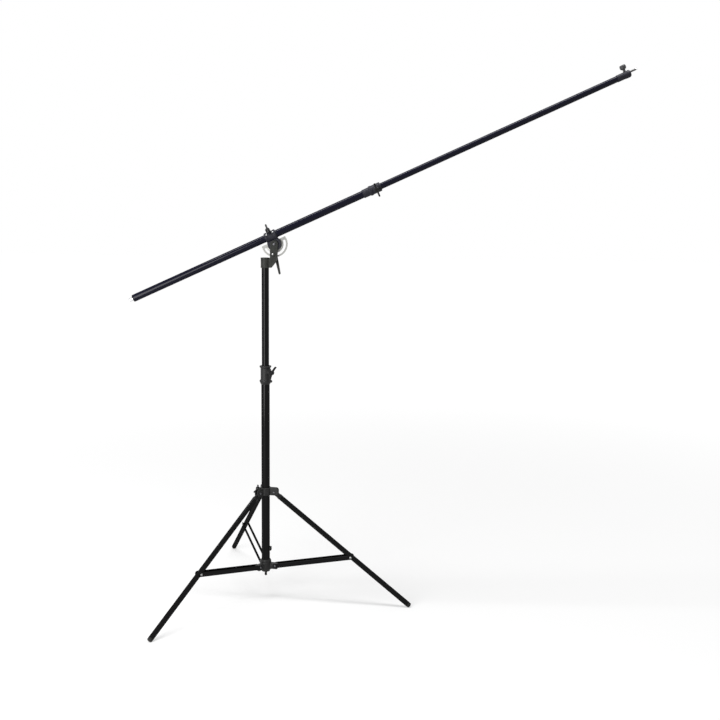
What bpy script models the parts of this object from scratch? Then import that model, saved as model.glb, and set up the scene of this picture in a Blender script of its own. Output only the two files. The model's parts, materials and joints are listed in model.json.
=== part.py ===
# A boom stand: a column on three folding legs carries a mast, and a two-section
# boom tilts in the mast's fork and slides through its clamp.
# Units are metres, Z is up, and the stand rests on the floor at Z = 0.

from math import acos, atan2, cos, degrees, hypot, pi, radians, sin, sqrt

import bmesh
import bpy
from mathutils import Matrix, Vector

MM = 0.001

# Clearances
SEAT_GAP = 0.3 * MM
PIN_GAP = 0.3 * MM
SLIDE_GAP = 0.4 * MM
BAR_GAP = 1.0 * MM
LUG_GAP = 0.4 * MM
PLATE_RIM_GAP = 1.1 * MM
BOSS_ROOT = 2 * MM
CUT_PAST = 5 * MM
BLANK_BORE_RADIUS = 6 * MM

# Column
LOWER_TUBE_RADIUS = 17.5 * MM
LOWER_TUBE_WALL = 1.5 * MM
LOWER_TUBE_BOTTOM = 118 * MM
LOWER_TUBE_LENGTH = 878 * MM
PLUG_FLANGE_THICKNESS = 6 * MM
PLUG_DEPTH = 20 * MM
PLUG_NUB_RADIUS = 5 * MM
PLUG_NUB_LENGTH = 20 * MM
BUMPER_HEIGHT = 18 * MM
BUMPER_WIDTH = 10 * MM
BUMPER_DEPTH = 7.5 * MM
BUMPER_MIDDLE = 213 * MM
BUMPER_AZIMUTH = -10
BUMPER_CORNER = 3 * MM

# Mast
UPPER_TUBE_RADIUS = 15.0 * MM
UPPER_TUBE_WALL = 1.5 * MM
UPPER_TUBE_LENGTH = 800 * MM
GUIDE_BUSH_LENGTH = 12 * MM
GUIDE_BUSH_DEPTH = 24 * MM
GUIDE_BUSH_BORE_RADIUS = 9 * MM

# Legs
LEG_AZIMUTHS = {"left": 230, "right": 350, "rear": 110}
LEG_ANGLE = radians(52.15)
LEG_LENGTH = 747 * MM
LEG_TUBE_RADIUS = 11.0 * MM
LEG_TUBE_WALL = 1.2 * MM
LEG_PIVOT_RADIUS = 38 * MM
LEG_TONGUE_WIDTH = 9 * MM
LEG_TONGUE_RADIUS = 9 * MM
LEG_SHOULDER_START = 25 * MM
LEG_SHOULDER_LENGTH = 12 * MM
LEG_SHOULDER_RADIUS = 11.6 * MM
LEG_SHOULDER_CHAMFER = 2 * MM
LEG_TONGUE_ROOT = 4 * MM
LEG_PLUG_LENGTH = 24 * MM
FOOT_CAP_LENGTH = 14 * MM
FOOT_PLUG_LENGTH = 22 * MM
FOOT_ROUNDING = 8 * MM
FOOT_FLAT_DEPTH = 0.8 * MM

# Leg collar
LEG_COLLAR_ABOVE_PIVOT = 20.5 * MM
LEG_COLLAR_BELOW_PIVOT = 13.0 * MM
LEG_COLLAR_RADIUS = 23.5 * MM
LEG_EAR_WIDTH = 4 * MM
LEG_EAR_REACH = 18.0 * MM
LEG_EAR_CORNER = 11 * MM
LEG_EAR_INSET = 0.6 * MM
LEG_COLLAR_CHAMFER = 2 * MM
LEG_COLLAR_BOSS_RADIUS = 8 * MM
LEG_COLLAR_BOSS_REACH = 28.5 * MM
LEG_KNOB_ABOVE_PIVOT = 10 * MM
LEG_KNOB_AZIMUTH = 170
LEG_KNOB_ROLL = -15

# Braces
BRACE_ON_LEG = 424 * MM
BRACE_BAR_WIDTH = 2.5 * MM
BRACE_BAR_HEIGHT = 19 * MM
HUB_PIVOT_RADIUS = 44 * MM
HUB_PIVOT_HEIGHT = 140 * MM
HUB_RADIUS = 24 * MM
HUB_HEIGHT = 48 * MM
HUB_LUG_ABOVE_PIVOT = 8.5 * MM
HUB_LUG_BELOW_PIVOT = 15 * MM
HUB_LUG_REACH = 11 * MM
HUB_LUG_CORNER = 6 * MM
HUB_CHAMFER = 4 * MM
HUB_RIM = 1.5 * MM

# Rivets and bolts
RIVET_RADIUS = 3 * MM
RIVET_HEAD_RADIUS = 5.2 * MM
RIVET_HEAD_HEIGHT = 2.8 * MM
SCREW_RADIUS = 2.5 * MM
SCREW_HEAD_RADIUS = 4.4 * MM
SCREW_HEAD_HEIGHT = 2.6 * MM
SCREW_DEPTH = 4 * MM
SCREW_CROWN_LIFT = 0.8 * MM

# Section collar on the column
SECTION_COLLAR_HEIGHT = 78 * MM
SECTION_COLLAR_ABOVE_TUBE = 10 * MM
SECTION_WAIST_RADIUS = 20.4 * MM
SECTION_FLANGE_RADIUS = 24.5 * MM
SECTION_FLANGE_HEIGHT = 6 * MM
SECTION_TAPER_HEIGHT = 11 * MM
SECTION_LIP = 1 * MM
SECTION_KNOB_BELOW_TOP = 26 * MM
SECTION_KNOB_AZIMUTH = -40
SECTION_KNOB_ROLL = 55
SECTION_BOSS_RADIUS = 9 * MM
SECTION_BOSS_REACH = 31 * MM
SECTION_SCREW_AZIMUTH = -8
SECTION_SCREW_BELOW_TOP = 17 * MM
SECTION_EAR_RADIUS = 5.5 * MM
SECTION_EAR_REACH = 31 * MM
SECTION_EAR_AZIMUTH = -28

# T-knobs
KNOB_HUB_RADIUS = 9.5 * MM
KNOB_HUB_LENGTH = 13 * MM
KNOB_SPAN = 58 * MM
KNOB_WING_WIDTH = 7.5 * MM
KNOB_WING_HEIGHT = 9 * MM
KNOB_WING_SWEEP = 7 * MM
KNOB_SCREW_RADIUS = 3.5 * MM

# Head
SLEEVE_RADIUS = 19.2 * MM
SLEEVE_HEIGHT = 42 * MM
SLEEVE_ABOVE_TUBE = 4 * MM
SLEEVE_RIM = 1.2 * MM
ARM_CORNER_RADIUS = 6.5 * MM
ARM_CORNER_BEYOND_PIVOT = 3.2 * MM
ARM_CORNER_BELOW_SLEEVE = 11 * MM
ARM_HEEL_RADIUS = 4 * MM
ARM_HEEL_OFFSET = 5 * MM
HEAD_WEB_WIDTH = 24 * MM
HEAD_WEB_INSET = 2 * MM
TILT_PIVOT_OFFSET = 37.9 * MM
TILT_PIVOT_HEIGHT = 1510.4 * MM
TILT_PIVOT_ABOVE_SLEEVE = 55.6 * MM
LOCK_RADIUS = 41.7 * MM
LOCK_ANGLE = -99
FORK_TOP_RADIUS = 15.7 * MM
LOCK_BOSS_RADIUS = 11.4 * MM
LOCK_BOSS_HEIGHT = 2.5 * MM
LOCK_BOSS_INSET = 0.8 * MM
CHEEK_WIDTH = 6 * MM
PIVOT_BOLT_RADIUS = 4 * MM
PIVOT_HEAD_RADIUS = 6 * MM
PIVOT_HEAD_HEIGHT = 3.5 * MM
PIVOT_NUT_RADIUS = 7 * MM
PIVOT_NUT_HEIGHT = 5 * MM
PIVOT_BOLT_PAST_NUT = 1.5 * MM
LOCK_BOLT_RADIUS = 4.2 * MM
LOCK_BOLT_RECESS = 1 * MM
LOCK_DOME_RADIUS = 5 * MM
LEVER_THICKNESS = 10 * MM
LEVER_HUB_RADIUS = 11 * MM
LEVER_LENGTH = 84 * MM
LEVER_ROOT_RADIUS = 7 * MM
LEVER_TIP_RADIUS = 4.2 * MM
LEVER_ROOT_OUT = 9.2 * MM
LEVER_ROOT_DOWN = 2.4 * MM
LEVER_LEAN = -72
LEVER_BLADE_INSET = 1.5 * MM

# Boom clamp and tilt plate
BOOM_ELEVATION = radians(24.83)
BOOM_ABOVE_PIVOT = 35.5 * MM
CLAMP_RADIUS = 21 * MM
CLAMP_LENGTH = 48 * MM
CLAMP_LUG_RADIUS = 28 * MM
CLAMP_LUG_WIDTH = 14 * MM
CLAMP_LUG_FORWARD = 2 * MM
CLAMP_CHAMFER = 2 * MM
CLAMP_NECK_RADIUS = 12 * MM
CLAMP_NECK_HALF = 8 * MM
CLAMP_BOSS_ROOT = 12 * MM
CLAMP_KNOB_LEAN = 37
CLAMP_KNOB_ROLL = 90
CLAMP_BOSS_RADIUS = 10 * MM
CLAMP_BOSS_REACH = 27 * MM
CLAMP_SCREW_SPACING = 27 * MM
CLAMP_SCREW_ABOVE_BOOM = 11.3 * MM
PLATE_RADIUS = 53.5 * MM
PLATE_THICKNESS = 4 * MM
PLATE_CHORD_ABOVE_PIVOT = 12 * MM
PLATE_SLOT_WIDTH = 9.5 * MM
PLATE_SLOT_HALF_ANGLE = 84
PLATE_SCREW_SPACING = 34 * MM
PLATE_SCREW_ABOVE_PIVOT = 8 * MM
PLATE_SINK_DEPTH = 1.9 * MM
PLATE_CORNER_SHAVE = 3 * MM

# Boom
REAR_TUBE_RADIUS = 15.0 * MM
REAR_TUBE_WALL = 1.5 * MM
REAR_TUBE_TAIL = 623 * MM
FRONT_TUBE_RADIUS = 12.5 * MM
FRONT_TUBE_WALL = 1.2 * MM
FRONT_TUBE_OVERLAP = 90 * MM
INNER_BUSH_LENGTH = 10 * MM
INNER_BUSH_DEPTH = 20 * MM
TAIL_PLUG_DEPTH = 22 * MM
TAIL_PLUG_FLANGE = 3 * MM
TAIL_STUD_RADIUS = 8 * MM
TAIL_STUD_LENGTH = 17 * MM
TAIL_STUD_STEM_RADIUS = 4 * MM
TAIL_RIM = 1 * MM
BOOM_COLLAR_START = 413 * MM
BOOM_COLLAR_LENGTH = 79 * MM
BOOM_COLLAR_TUBE_SHARE = 66 * MM
BOOM_COLLAR_REAR_RADIUS = 17.6 * MM
BOOM_COLLAR_FRONT_RADIUS = 19 * MM
BOOM_COLLAR_RING_RADIUS = 20.5 * MM
BOOM_COLLAR_RING_START_SHARE = 0.36
BOOM_COLLAR_RING_END_SHARE = 0.52
BOOM_COLLAR_RING_SLOPE = 2 * MM
BOOM_COLLAR_CHAMFER = 3 * MM
BOOM_KNOB_BEFORE_FRONT = 21 * MM
BOOM_KNOB_DROOP = 12
BOOM_KNOB_ROLL = 90
BOOM_BOSS_RADIUS = 10.5 * MM
BOOM_BOSS_REACH = 24 * MM
TIP_ADAPTER_START = 1523 * MM
TIP_ADAPTER_RADIUS = 14 * MM
TIP_SOCKET_DEPTH = 32 * MM
TIP_HEAD_LENGTH = 26 * MM
TIP_HEAD_RADIUS = 15 * MM
TIP_HEAD_ROUNDING = 7 * MM
TIP_HEAD_TAPER = 3 * MM
SPIGOT_RADIUS = 4 * MM
SPIGOT_LENGTH = 30 * MM
SPIGOT_DEPTH = 23.5 * MM
SPIGOT_LIFT = 5 * MM
SPIGOT_RIM = 1.5 * MM
TIP_KNOB_INTO_HEAD = 6 * MM
TIP_KNOB_RADIUS = 13 * MM
TIP_KNOB_HEIGHT = 19 * MM
TIP_KNOB_LOBES = 6
TIP_KNOB_STEM = 8 * MM
TIP_KNOB_STEM_RADIUS = 5.5 * MM
TIP_KNOB_SCREW_RADIUS = 3 * MM

# Fineness of round shapes
TUBE_STEPS = 28
FITTING_STEPS = 24
SMALL_STEPS = 16

# Colours: base colour, roughness, metallic
FINISHES = {
    "gloss_black": ((0.012, 0.012, 0.015), 0.25, 0.0),
    "cast_grey": ((0.045, 0.046, 0.05), 0.5, 0.3),
    "knob_black": ((0.02, 0.02, 0.022), 0.55, 0.0),
    "rubber_black": ((0.018, 0.018, 0.018), 0.85, 0.0),
    "plate_silver": ((0.55, 0.54, 0.52), 0.4, 0.9),
    "zinc": ((0.65, 0.65, 0.66), 0.3, 1.0),
    "chrome": ((0.8, 0.8, 0.82), 0.1, 1.0),
}

# Sizes that follow from those above
PIVOT_HEIGHT = (
    (LEG_LENGTH - FOOT_ROUNDING) * cos(LEG_ANGLE)
    + (LEG_TUBE_RADIUS - FOOT_ROUNDING) * sin(LEG_ANGLE)
    + FOOT_ROUNDING
    - FOOT_FLAT_DEPTH
)
BRACE_JOINT_RADIUS = LEG_PIVOT_RADIUS + BRACE_ON_LEG * sin(LEG_ANGLE)
BRACE_JOINT_HEIGHT = PIVOT_HEIGHT - BRACE_ON_LEG * cos(LEG_ANGLE)
BRACE_LENGTH = hypot(BRACE_JOINT_RADIUS - HUB_PIVOT_RADIUS, BRACE_JOINT_HEIGHT - HUB_PIVOT_HEIGHT)
BRACE_RISE = atan2(BRACE_JOINT_HEIGHT - HUB_PIVOT_HEIGHT, BRACE_JOINT_RADIUS - HUB_PIVOT_RADIUS)
BAR_INNER_FACE = LEG_TUBE_RADIUS + BAR_GAP
LOWER_TUBE_TOP = LOWER_TUBE_BOTTOM + LOWER_TUBE_LENGTH
SECTION_COLLAR_TOP = LOWER_TUBE_TOP + SECTION_COLLAR_ABOVE_TUBE
SLEEVE_TOP = TILT_PIVOT_HEIGHT - TILT_PIVOT_ABOVE_SLEEVE
UPPER_TUBE_TOP = SLEEVE_TOP - SLEEVE_ABOVE_TUBE
UPPER_TUBE_BOTTOM = UPPER_TUBE_TOP - UPPER_TUBE_LENGTH
LUG_FRONT = -0.5 * CLAMP_LUG_WIDTH - CLAMP_LUG_FORWARD
LUG_BACK = LUG_FRONT + CLAMP_LUG_WIDTH
PLATE_BACK = LUG_BACK + SEAT_GAP + PLATE_THICKNESS
FORK_SLOT_FRONT = LUG_FRONT - SEAT_GAP
FORK_SLOT_BACK = PLATE_BACK + SEAT_GAP
FORK_FRONT = FORK_SLOT_FRONT - CHEEK_WIDTH
FORK_BACK = FORK_SLOT_BACK + CHEEK_WIDTH


# Scene helpers

def clear_scene():
    for obj in list(bpy.data.objects):
        bpy.data.objects.remove(obj, do_unlink=True)


def finish(name):
    material = bpy.data.materials.get(name)
    if material is None:
        colour, roughness, metallic = FINISHES[name]
        material = bpy.data.materials.new(name)
        material.use_nodes = True
        shader = material.node_tree.nodes["Principled BSDF"]
        shader.inputs["Base Color"].default_value = (*colour, 1)
        shader.inputs["Roughness"].default_value = roughness
        shader.inputs["Metallic"].default_value = metallic
        material.diffuse_color = (*colour, 1)
    return material


def empty(name, parent=None, location=(0, 0, 0), rotation=None):
    holder = bpy.data.objects.new(name, None)
    holder.empty_display_size = 0.03
    bpy.context.scene.collection.objects.link(holder)
    holder.parent = parent
    turn = rotation if rotation is not None else Matrix.Identity(3)
    holder.matrix_basis = Matrix.Translation(location) @ turn.to_4x4()
    return holder


def piece(name, shape, look, parent, location=(0, 0, 0), rotation=None):
    mesh = bpy.data.meshes.new(name)
    bmesh.ops.recalc_face_normals(shape, faces=shape.faces[:])
    shape.to_mesh(mesh)
    shape.free()
    mesh.shade_smooth()
    mesh.set_sharp_from_angle(angle=radians(35))
    mesh.materials.append(finish(look))
    obj = bpy.data.objects.new(name, mesh)
    bpy.context.scene.collection.objects.link(obj)
    obj.parent = parent
    turn = rotation if rotation is not None else Matrix.Identity(3)
    obj.matrix_basis = Matrix.Translation(location) @ turn.to_4x4()
    return obj


def helper(name, shape, parent, location=(0, 0, 0), rotation=None):
    obj = piece(name, shape, "cast_grey", parent, location, rotation)
    obj.hide_render = True
    obj.display_type = "WIRE"
    return obj


def combine(target, operation, *others):
    for other in others:
        modifier = target.modifiers.new(f"{operation.lower()} {other.name}", "BOOLEAN")
        modifier.operation = operation
        modifier.solver = "EXACT"
        modifier.object = other


def add(target, *others):
    combine(target, "UNION", *others)


def cut(target, *others):
    combine(target, "DIFFERENCE", *others)


# Directions: each turn carries the local Z axis, or for legs the local X axis, to its place

def toward(azimuth):
    return Matrix.Rotation(radians(azimuth), 3, "Z")


def along_x():
    return Matrix.Rotation(pi / 2, 3, "Y")


def along_y():
    return Matrix.Rotation(-pi / 2, 3, "X")


def outward(azimuth):
    return toward(azimuth) @ along_x()


# Shape helpers

def spun(profile, steps):
    # The profile is a closed outline of (radius, height) points, turned about Z.
    shape = bmesh.new()
    corners = [shape.verts.new((radius, 0, height)) for radius, height in profile]
    edges = []
    for first, second in zip(corners, corners[1:] + corners[:1]):
        if first.co.x > 0 or second.co.x > 0:
            edges.append(shape.edges.new((first, second)))
    bmesh.ops.spin(
        shape,
        geom=corners + edges,
        cent=(0, 0, 0),
        axis=(0, 0, 1),
        angle=2 * pi,
        steps=steps,
        use_merge=True,
    )
    bmesh.ops.remove_doubles(shape, verts=shape.verts[:], dist=1e-6)
    return shape


def rod(radius, start, end, steps=SMALL_STEPS):
    return spun([(0, start), (radius, start), (radius, end), (0, end)], steps)


def ring(inner, outer, start, end, steps=TUBE_STEPS):
    return spun([(inner, start), (outer, start), (outer, end), (inner, end)], steps)


def slab(outline, start, end):
    # The outline lies in local X and Z, and the slab runs from start to end along Y.
    shape = bmesh.new()
    face = shape.faces.new([shape.verts.new((x, start, z)) for x, z in outline])
    grown = bmesh.ops.extrude_face_region(shape, geom=[face])
    moved = [item for item in grown["geom"] if isinstance(item, bmesh.types.BMVert)]
    bmesh.ops.translate(shape, verts=moved, vec=(0, end - start, 0))
    return shape


def block(low, high):
    shape = bmesh.new()
    bmesh.ops.create_cube(shape, size=1)
    low, high = Vector(low), Vector(high)
    size = high - low
    middle = (low + high) / 2
    bmesh.ops.scale(shape, vec=size, verts=shape.verts[:])
    bmesh.ops.translate(shape, vec=middle, verts=shape.verts[:])
    return shape


def arc(centre, radius, start, end, steps):
    points = []
    for step in range(steps + 1):
        angle = radians(start + (end - start) * step / steps)
        points.append((centre[0] + radius * cos(angle), centre[1] + radius * sin(angle)))
    return points


def hull(circles, steps=28):
    # The convex outline round several (x, z, radius) circles.
    points = []
    for x, z, radius in circles:
        points += arc((x, z), radius, 0, 360 - 360 / steps, steps - 1)
    points.sort()
    chains = []
    for ordered in (points, points[::-1]):
        chain = []
        for point in ordered:
            while len(chain) > 1 and turn_of(chain[-2], chain[-1], point) <= 1e-12:
                chain.pop()
            chain.append(point)
        chains.append(chain[:-1])
    return chains[0] + chains[1]


def turn_of(first, second, third):
    ahead = (second[0] - first[0]) * (third[1] - first[1])
    return ahead - (second[1] - first[1]) * (third[0] - first[0])


def rounded_end(length, radius, steps=8):
    # A bar with a half-round end at each of two points on local X.
    return arc((0, 0), radius, 90, 270, steps) + arc((length, 0), radius, -90, 90, steps)


# Fasteners

def rivet(name, look, parent, half_width, location=(0, 0, 0)):
    # A two-headed rivet along local Y, with its heads outside plus and minus half_width.
    near = half_width + SEAT_GAP
    far = near + RIVET_HEAD_HEIGHT
    crown = 0.6 * RIVET_HEAD_RADIUS
    profile = [
        (0, -far),
        (crown, -far),
        (RIVET_HEAD_RADIUS, -near - 0.3 * RIVET_HEAD_HEIGHT),
        (RIVET_HEAD_RADIUS, -near),
        (RIVET_RADIUS, -near),
        (RIVET_RADIUS, near),
        (RIVET_HEAD_RADIUS, near),
        (RIVET_HEAD_RADIUS, near + 0.3 * RIVET_HEAD_HEIGHT),
        (crown, far),
        (0, far),
    ]
    return piece(name, spun(profile, SMALL_STEPS), look, parent, location, along_y())


def bar_rivet(name, parent, side, location):
    # A short rivet whose shank ends flush with the inner face of its bar.
    inner = BAR_INNER_FACE
    face = BAR_INNER_FACE + BRACE_BAR_WIDTH + SEAT_GAP
    far = face + RIVET_HEAD_HEIGHT
    profile = [
        (0, inner),
        (RIVET_RADIUS, inner),
        (RIVET_RADIUS, face),
        (RIVET_HEAD_RADIUS, face),
        (RIVET_HEAD_RADIUS, face + 0.3 * RIVET_HEAD_HEIGHT),
        (0.6 * RIVET_HEAD_RADIUS, far),
        (0, far),
    ]
    turn = along_y() if side > 0 else Matrix.Rotation(pi, 3, "Z") @ along_y()
    return piece(name, spun(profile, SMALL_STEPS), "zinc", parent, location, turn)


def crowned_screw(name, parent, location, rotation, depth, lift):
    # The shank ends depth below the surface at local Z = 0, and the head's foot is lift above it.
    far = lift + SCREW_HEAD_HEIGHT
    profile = [
        (0, -depth),
        (SCREW_RADIUS, -depth),
        (SCREW_RADIUS, lift),
        (SCREW_HEAD_RADIUS, lift),
        (SCREW_HEAD_RADIUS, lift + 0.5 * SCREW_HEAD_HEIGHT),
        (0.6 * SCREW_HEAD_RADIUS, far),
        (0, far),
    ]
    return piece(name, spun(profile, SMALL_STEPS), "zinc", parent, location, rotation)


def t_knob(name, parent, screw_length):
    # The knob turns about local Z, its wings lie along X and sweep away from the clamp,
    # and its screw runs down from the hub's foot at Z = 0.
    hub = piece(name, spun(knob_profile(screw_length), FITTING_STEPS), "knob_black", parent)
    wing = helper(name + "_wing", slab(wing_outline(), -KNOB_WING_WIDTH / 2, KNOB_WING_WIDTH / 2), parent)
    add(hub, wing)
    return hub


def knob_profile(screw_length):
    shoulder = 0.8 * KNOB_HUB_RADIUS
    return [
        (0, -screw_length),
        (KNOB_SCREW_RADIUS, -screw_length),
        (KNOB_SCREW_RADIUS, 0),
        (shoulder, 0),
        (KNOB_HUB_RADIUS, 0.2 * KNOB_HUB_LENGTH),
        (KNOB_HUB_RADIUS, 0.8 * KNOB_HUB_LENGTH),
        (shoulder, KNOB_HUB_LENGTH),
        (0, KNOB_HUB_LENGTH),
    ]


def wing_outline():
    half = KNOB_SPAN / 2
    low = 0.25 * KNOB_HUB_LENGTH
    steps = 6
    lower = []
    upper = []
    for step in range(-steps, steps + 1):
        share = step / steps
        rise = KNOB_WING_SWEEP * share * share
        thin = 1 - 0.35 * abs(share)
        lower.append((half * share, low + rise))
        upper.append((half * share, low + rise + KNOB_WING_HEIGHT * thin))
    return lower + upper[::-1]


# Column and hub

def lower_tube(stand):
    inner = LOWER_TUBE_RADIUS - LOWER_TUBE_WALL
    shape = ring(inner, LOWER_TUBE_RADIUS, LOWER_TUBE_BOTTOM, LOWER_TUBE_TOP)
    return piece("lower_tube", shape, "gloss_black", stand)


def bottom_plug(stand):
    top = LOWER_TUBE_BOTTOM + PLUG_DEPTH
    seat = LOWER_TUBE_BOTTOM - SEAT_GAP
    base = seat - PLUG_FLANGE_THICKNESS
    nub = base - PLUG_NUB_LENGTH
    plug_radius = LOWER_TUBE_RADIUS - LOWER_TUBE_WALL - SEAT_GAP
    profile = [
        (0, nub),
        (PLUG_NUB_RADIUS, nub),
        (PLUG_NUB_RADIUS, base),
        (LOWER_TUBE_RADIUS, base),
        (LOWER_TUBE_RADIUS, seat),
        (plug_radius, seat),
        (plug_radius, top),
        (0, top),
    ]
    return piece("bottom_plug", spun(profile, FITTING_STEPS), "rubber_black", stand)


def brace_hub(stand):
    bottom = LOWER_TUBE_BOTTOM
    top = bottom + HUB_HEIGHT
    bore = LOWER_TUBE_RADIUS + SEAT_GAP
    profile = [
        (bore, bottom),
        (HUB_RADIUS - HUB_CHAMFER, bottom),
        (HUB_RADIUS, bottom + HUB_CHAMFER),
        (HUB_RADIUS, top - 2 * HUB_CHAMFER),
        (bore + HUB_RIM, top),
        (bore, top),
    ]
    hub = piece("brace_hub", spun(profile, FITTING_STEPS), "cast_grey", stand)
    half = BAR_INNER_FACE - LUG_GAP
    for side, azimuth in LEG_AZIMUTHS.items():
        low = HUB_PIVOT_HEIGHT - HUB_LUG_BELOW_PIVOT
        high = HUB_PIVOT_HEIGHT + HUB_LUG_ABOVE_PIVOT
        reach = HUB_PIVOT_RADIUS + HUB_LUG_REACH
        corner = HUB_LUG_CORNER
        start = HUB_RADIUS - 1.5 * BOSS_ROOT
        outline = [(start, low), (start, high)]
        outline += arc((reach - corner, high - corner), corner, 90, 0, 4)
        outline += arc((reach - corner, low + corner), corner, 0, -90, 4)
        lug = helper(f"hub_lug_{side}", slab(outline, -half, half), stand, rotation=toward(azimuth))
        hole_shape = rod(RIVET_RADIUS + PIN_GAP, -2 * half, 2 * half)
        frame = toward(azimuth)
        place = frame @ Vector((HUB_PIVOT_RADIUS, 0, HUB_PIVOT_HEIGHT))
        hole = helper(f"hub_hole_{side}", hole_shape, stand, place, frame @ along_y())
        add(hub, lug)
        cut(hub, hole)
        rivet_frame = empty(f"hub_rivet_seat_{side}", stand, place, frame)
        rivet(f"hub_rivet_{side}", "zinc", rivet_frame, BAR_INNER_FACE + BRACE_BAR_WIDTH)
    return hub


def tube_bumper(stand):
    half = BUMPER_WIDTH / 2
    inner = LOWER_TUBE_RADIUS - LOWER_TUBE_WALL
    outer = LOWER_TUBE_RADIUS + BUMPER_DEPTH
    low = BUMPER_MIDDLE - BUMPER_HEIGHT / 2
    high = BUMPER_MIDDLE + BUMPER_HEIGHT / 2
    corner = BUMPER_CORNER
    outline = [(inner, low), (inner, high)]
    outline += arc((outer - corner, high - corner), corner, 90, 0, 3)
    outline += arc((outer - corner, low + corner), corner, 0, -90, 3)
    turn = toward(BUMPER_AZIMUTH)
    bumper = piece("tube_bumper", slab(outline, -half, half), "rubber_black", stand, rotation=turn)
    seat = rod(LOWER_TUBE_RADIUS + SEAT_GAP, low - half, high + half, TUBE_STEPS)
    cut(bumper, helper("bumper_seat", seat, stand))
    return bumper


def section_collar(stand):
    top = SECTION_COLLAR_TOP
    bottom = top - SECTION_COLLAR_HEIGHT
    bore = LOWER_TUBE_RADIUS + SEAT_GAP
    throat = UPPER_TUBE_RADIUS + SLIDE_GAP
    step = LOWER_TUBE_TOP + SEAT_GAP
    flange_low = bottom + SECTION_TAPER_HEIGHT
    profile = [
        (bore, bottom),
        (bore + SECTION_LIP, bottom),
        (SECTION_FLANGE_RADIUS, flange_low),
        (SECTION_FLANGE_RADIUS, flange_low + SECTION_FLANGE_HEIGHT),
        (SECTION_WAIST_RADIUS, flange_low + 1.5 * SECTION_FLANGE_HEIGHT),
        (SECTION_WAIST_RADIUS, top - 1.5 * SECTION_FLANGE_HEIGHT),
        (SECTION_FLANGE_RADIUS, top - SECTION_FLANGE_HEIGHT),
        (SECTION_FLANGE_RADIUS, top),
        (throat, top),
        (throat, step),
        (bore, step),
    ]
    collar = piece("section_collar", spun(profile, FITTING_STEPS), "cast_grey", stand)
    height = top - SECTION_KNOB_BELOW_TOP
    direction = outward(SECTION_KNOB_AZIMUTH)
    boss_start = bore + SECTION_LIP
    boss = helper(
        "section_boss",
        rod(SECTION_BOSS_RADIUS, boss_start, SECTION_BOSS_REACH, FITTING_STEPS),
        stand,
        (0, 0, height),
        direction,
    )
    hole = helper(
        "section_screw_hole",
        rod(KNOB_SCREW_RADIUS + PIN_GAP, LOWER_TUBE_RADIUS, SECTION_BOSS_REACH + CUT_PAST),
        stand,
        (0, 0, height),
        direction,
    )
    ear = helper(
        "section_ear",
        rod(SECTION_EAR_RADIUS, boss_start, SECTION_EAR_REACH),
        stand,
        (0, 0, flange_low + SECTION_FLANGE_HEIGHT / 2),
        outward(SECTION_EAR_AZIMUTH),
    )
    add(collar, boss, ear)
    cut(collar, hole)
    screw_height = top - SECTION_SCREW_BELOW_TOP
    turn = outward(SECTION_SCREW_AZIMUTH)
    spot = turn @ Vector((0, 0, SECTION_WAIST_RADIUS))
    spot.z = screw_height
    depth = SECTION_WAIST_RADIUS - bore
    small_hole = helper(
        "collar_screw_hole",
        rod(SCREW_RADIUS + PIN_GAP, -depth + SEAT_GAP, CUT_PAST),
        stand,
        spot,
        turn,
    )
    cut(collar, small_hole)
    crowned_screw("collar_screw", stand, spot, turn, depth - 2 * SEAT_GAP, SCREW_CROWN_LIFT)
    return collar


def section_knob(stand):
    height = SECTION_COLLAR_TOP - SECTION_KNOB_BELOW_TOP
    turn = outward(SECTION_KNOB_AZIMUTH)
    place = turn @ Vector((0, 0, SECTION_BOSS_REACH + SEAT_GAP))
    place.z = height
    axis = empty("section_knob_axis", stand, place, turn @ toward(SECTION_KNOB_ROLL + 90))
    screw = SECTION_BOSS_REACH - LOWER_TUBE_RADIUS - SEAT_GAP
    return t_knob("section_knob", axis, screw)


# Legs and their collar

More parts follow.
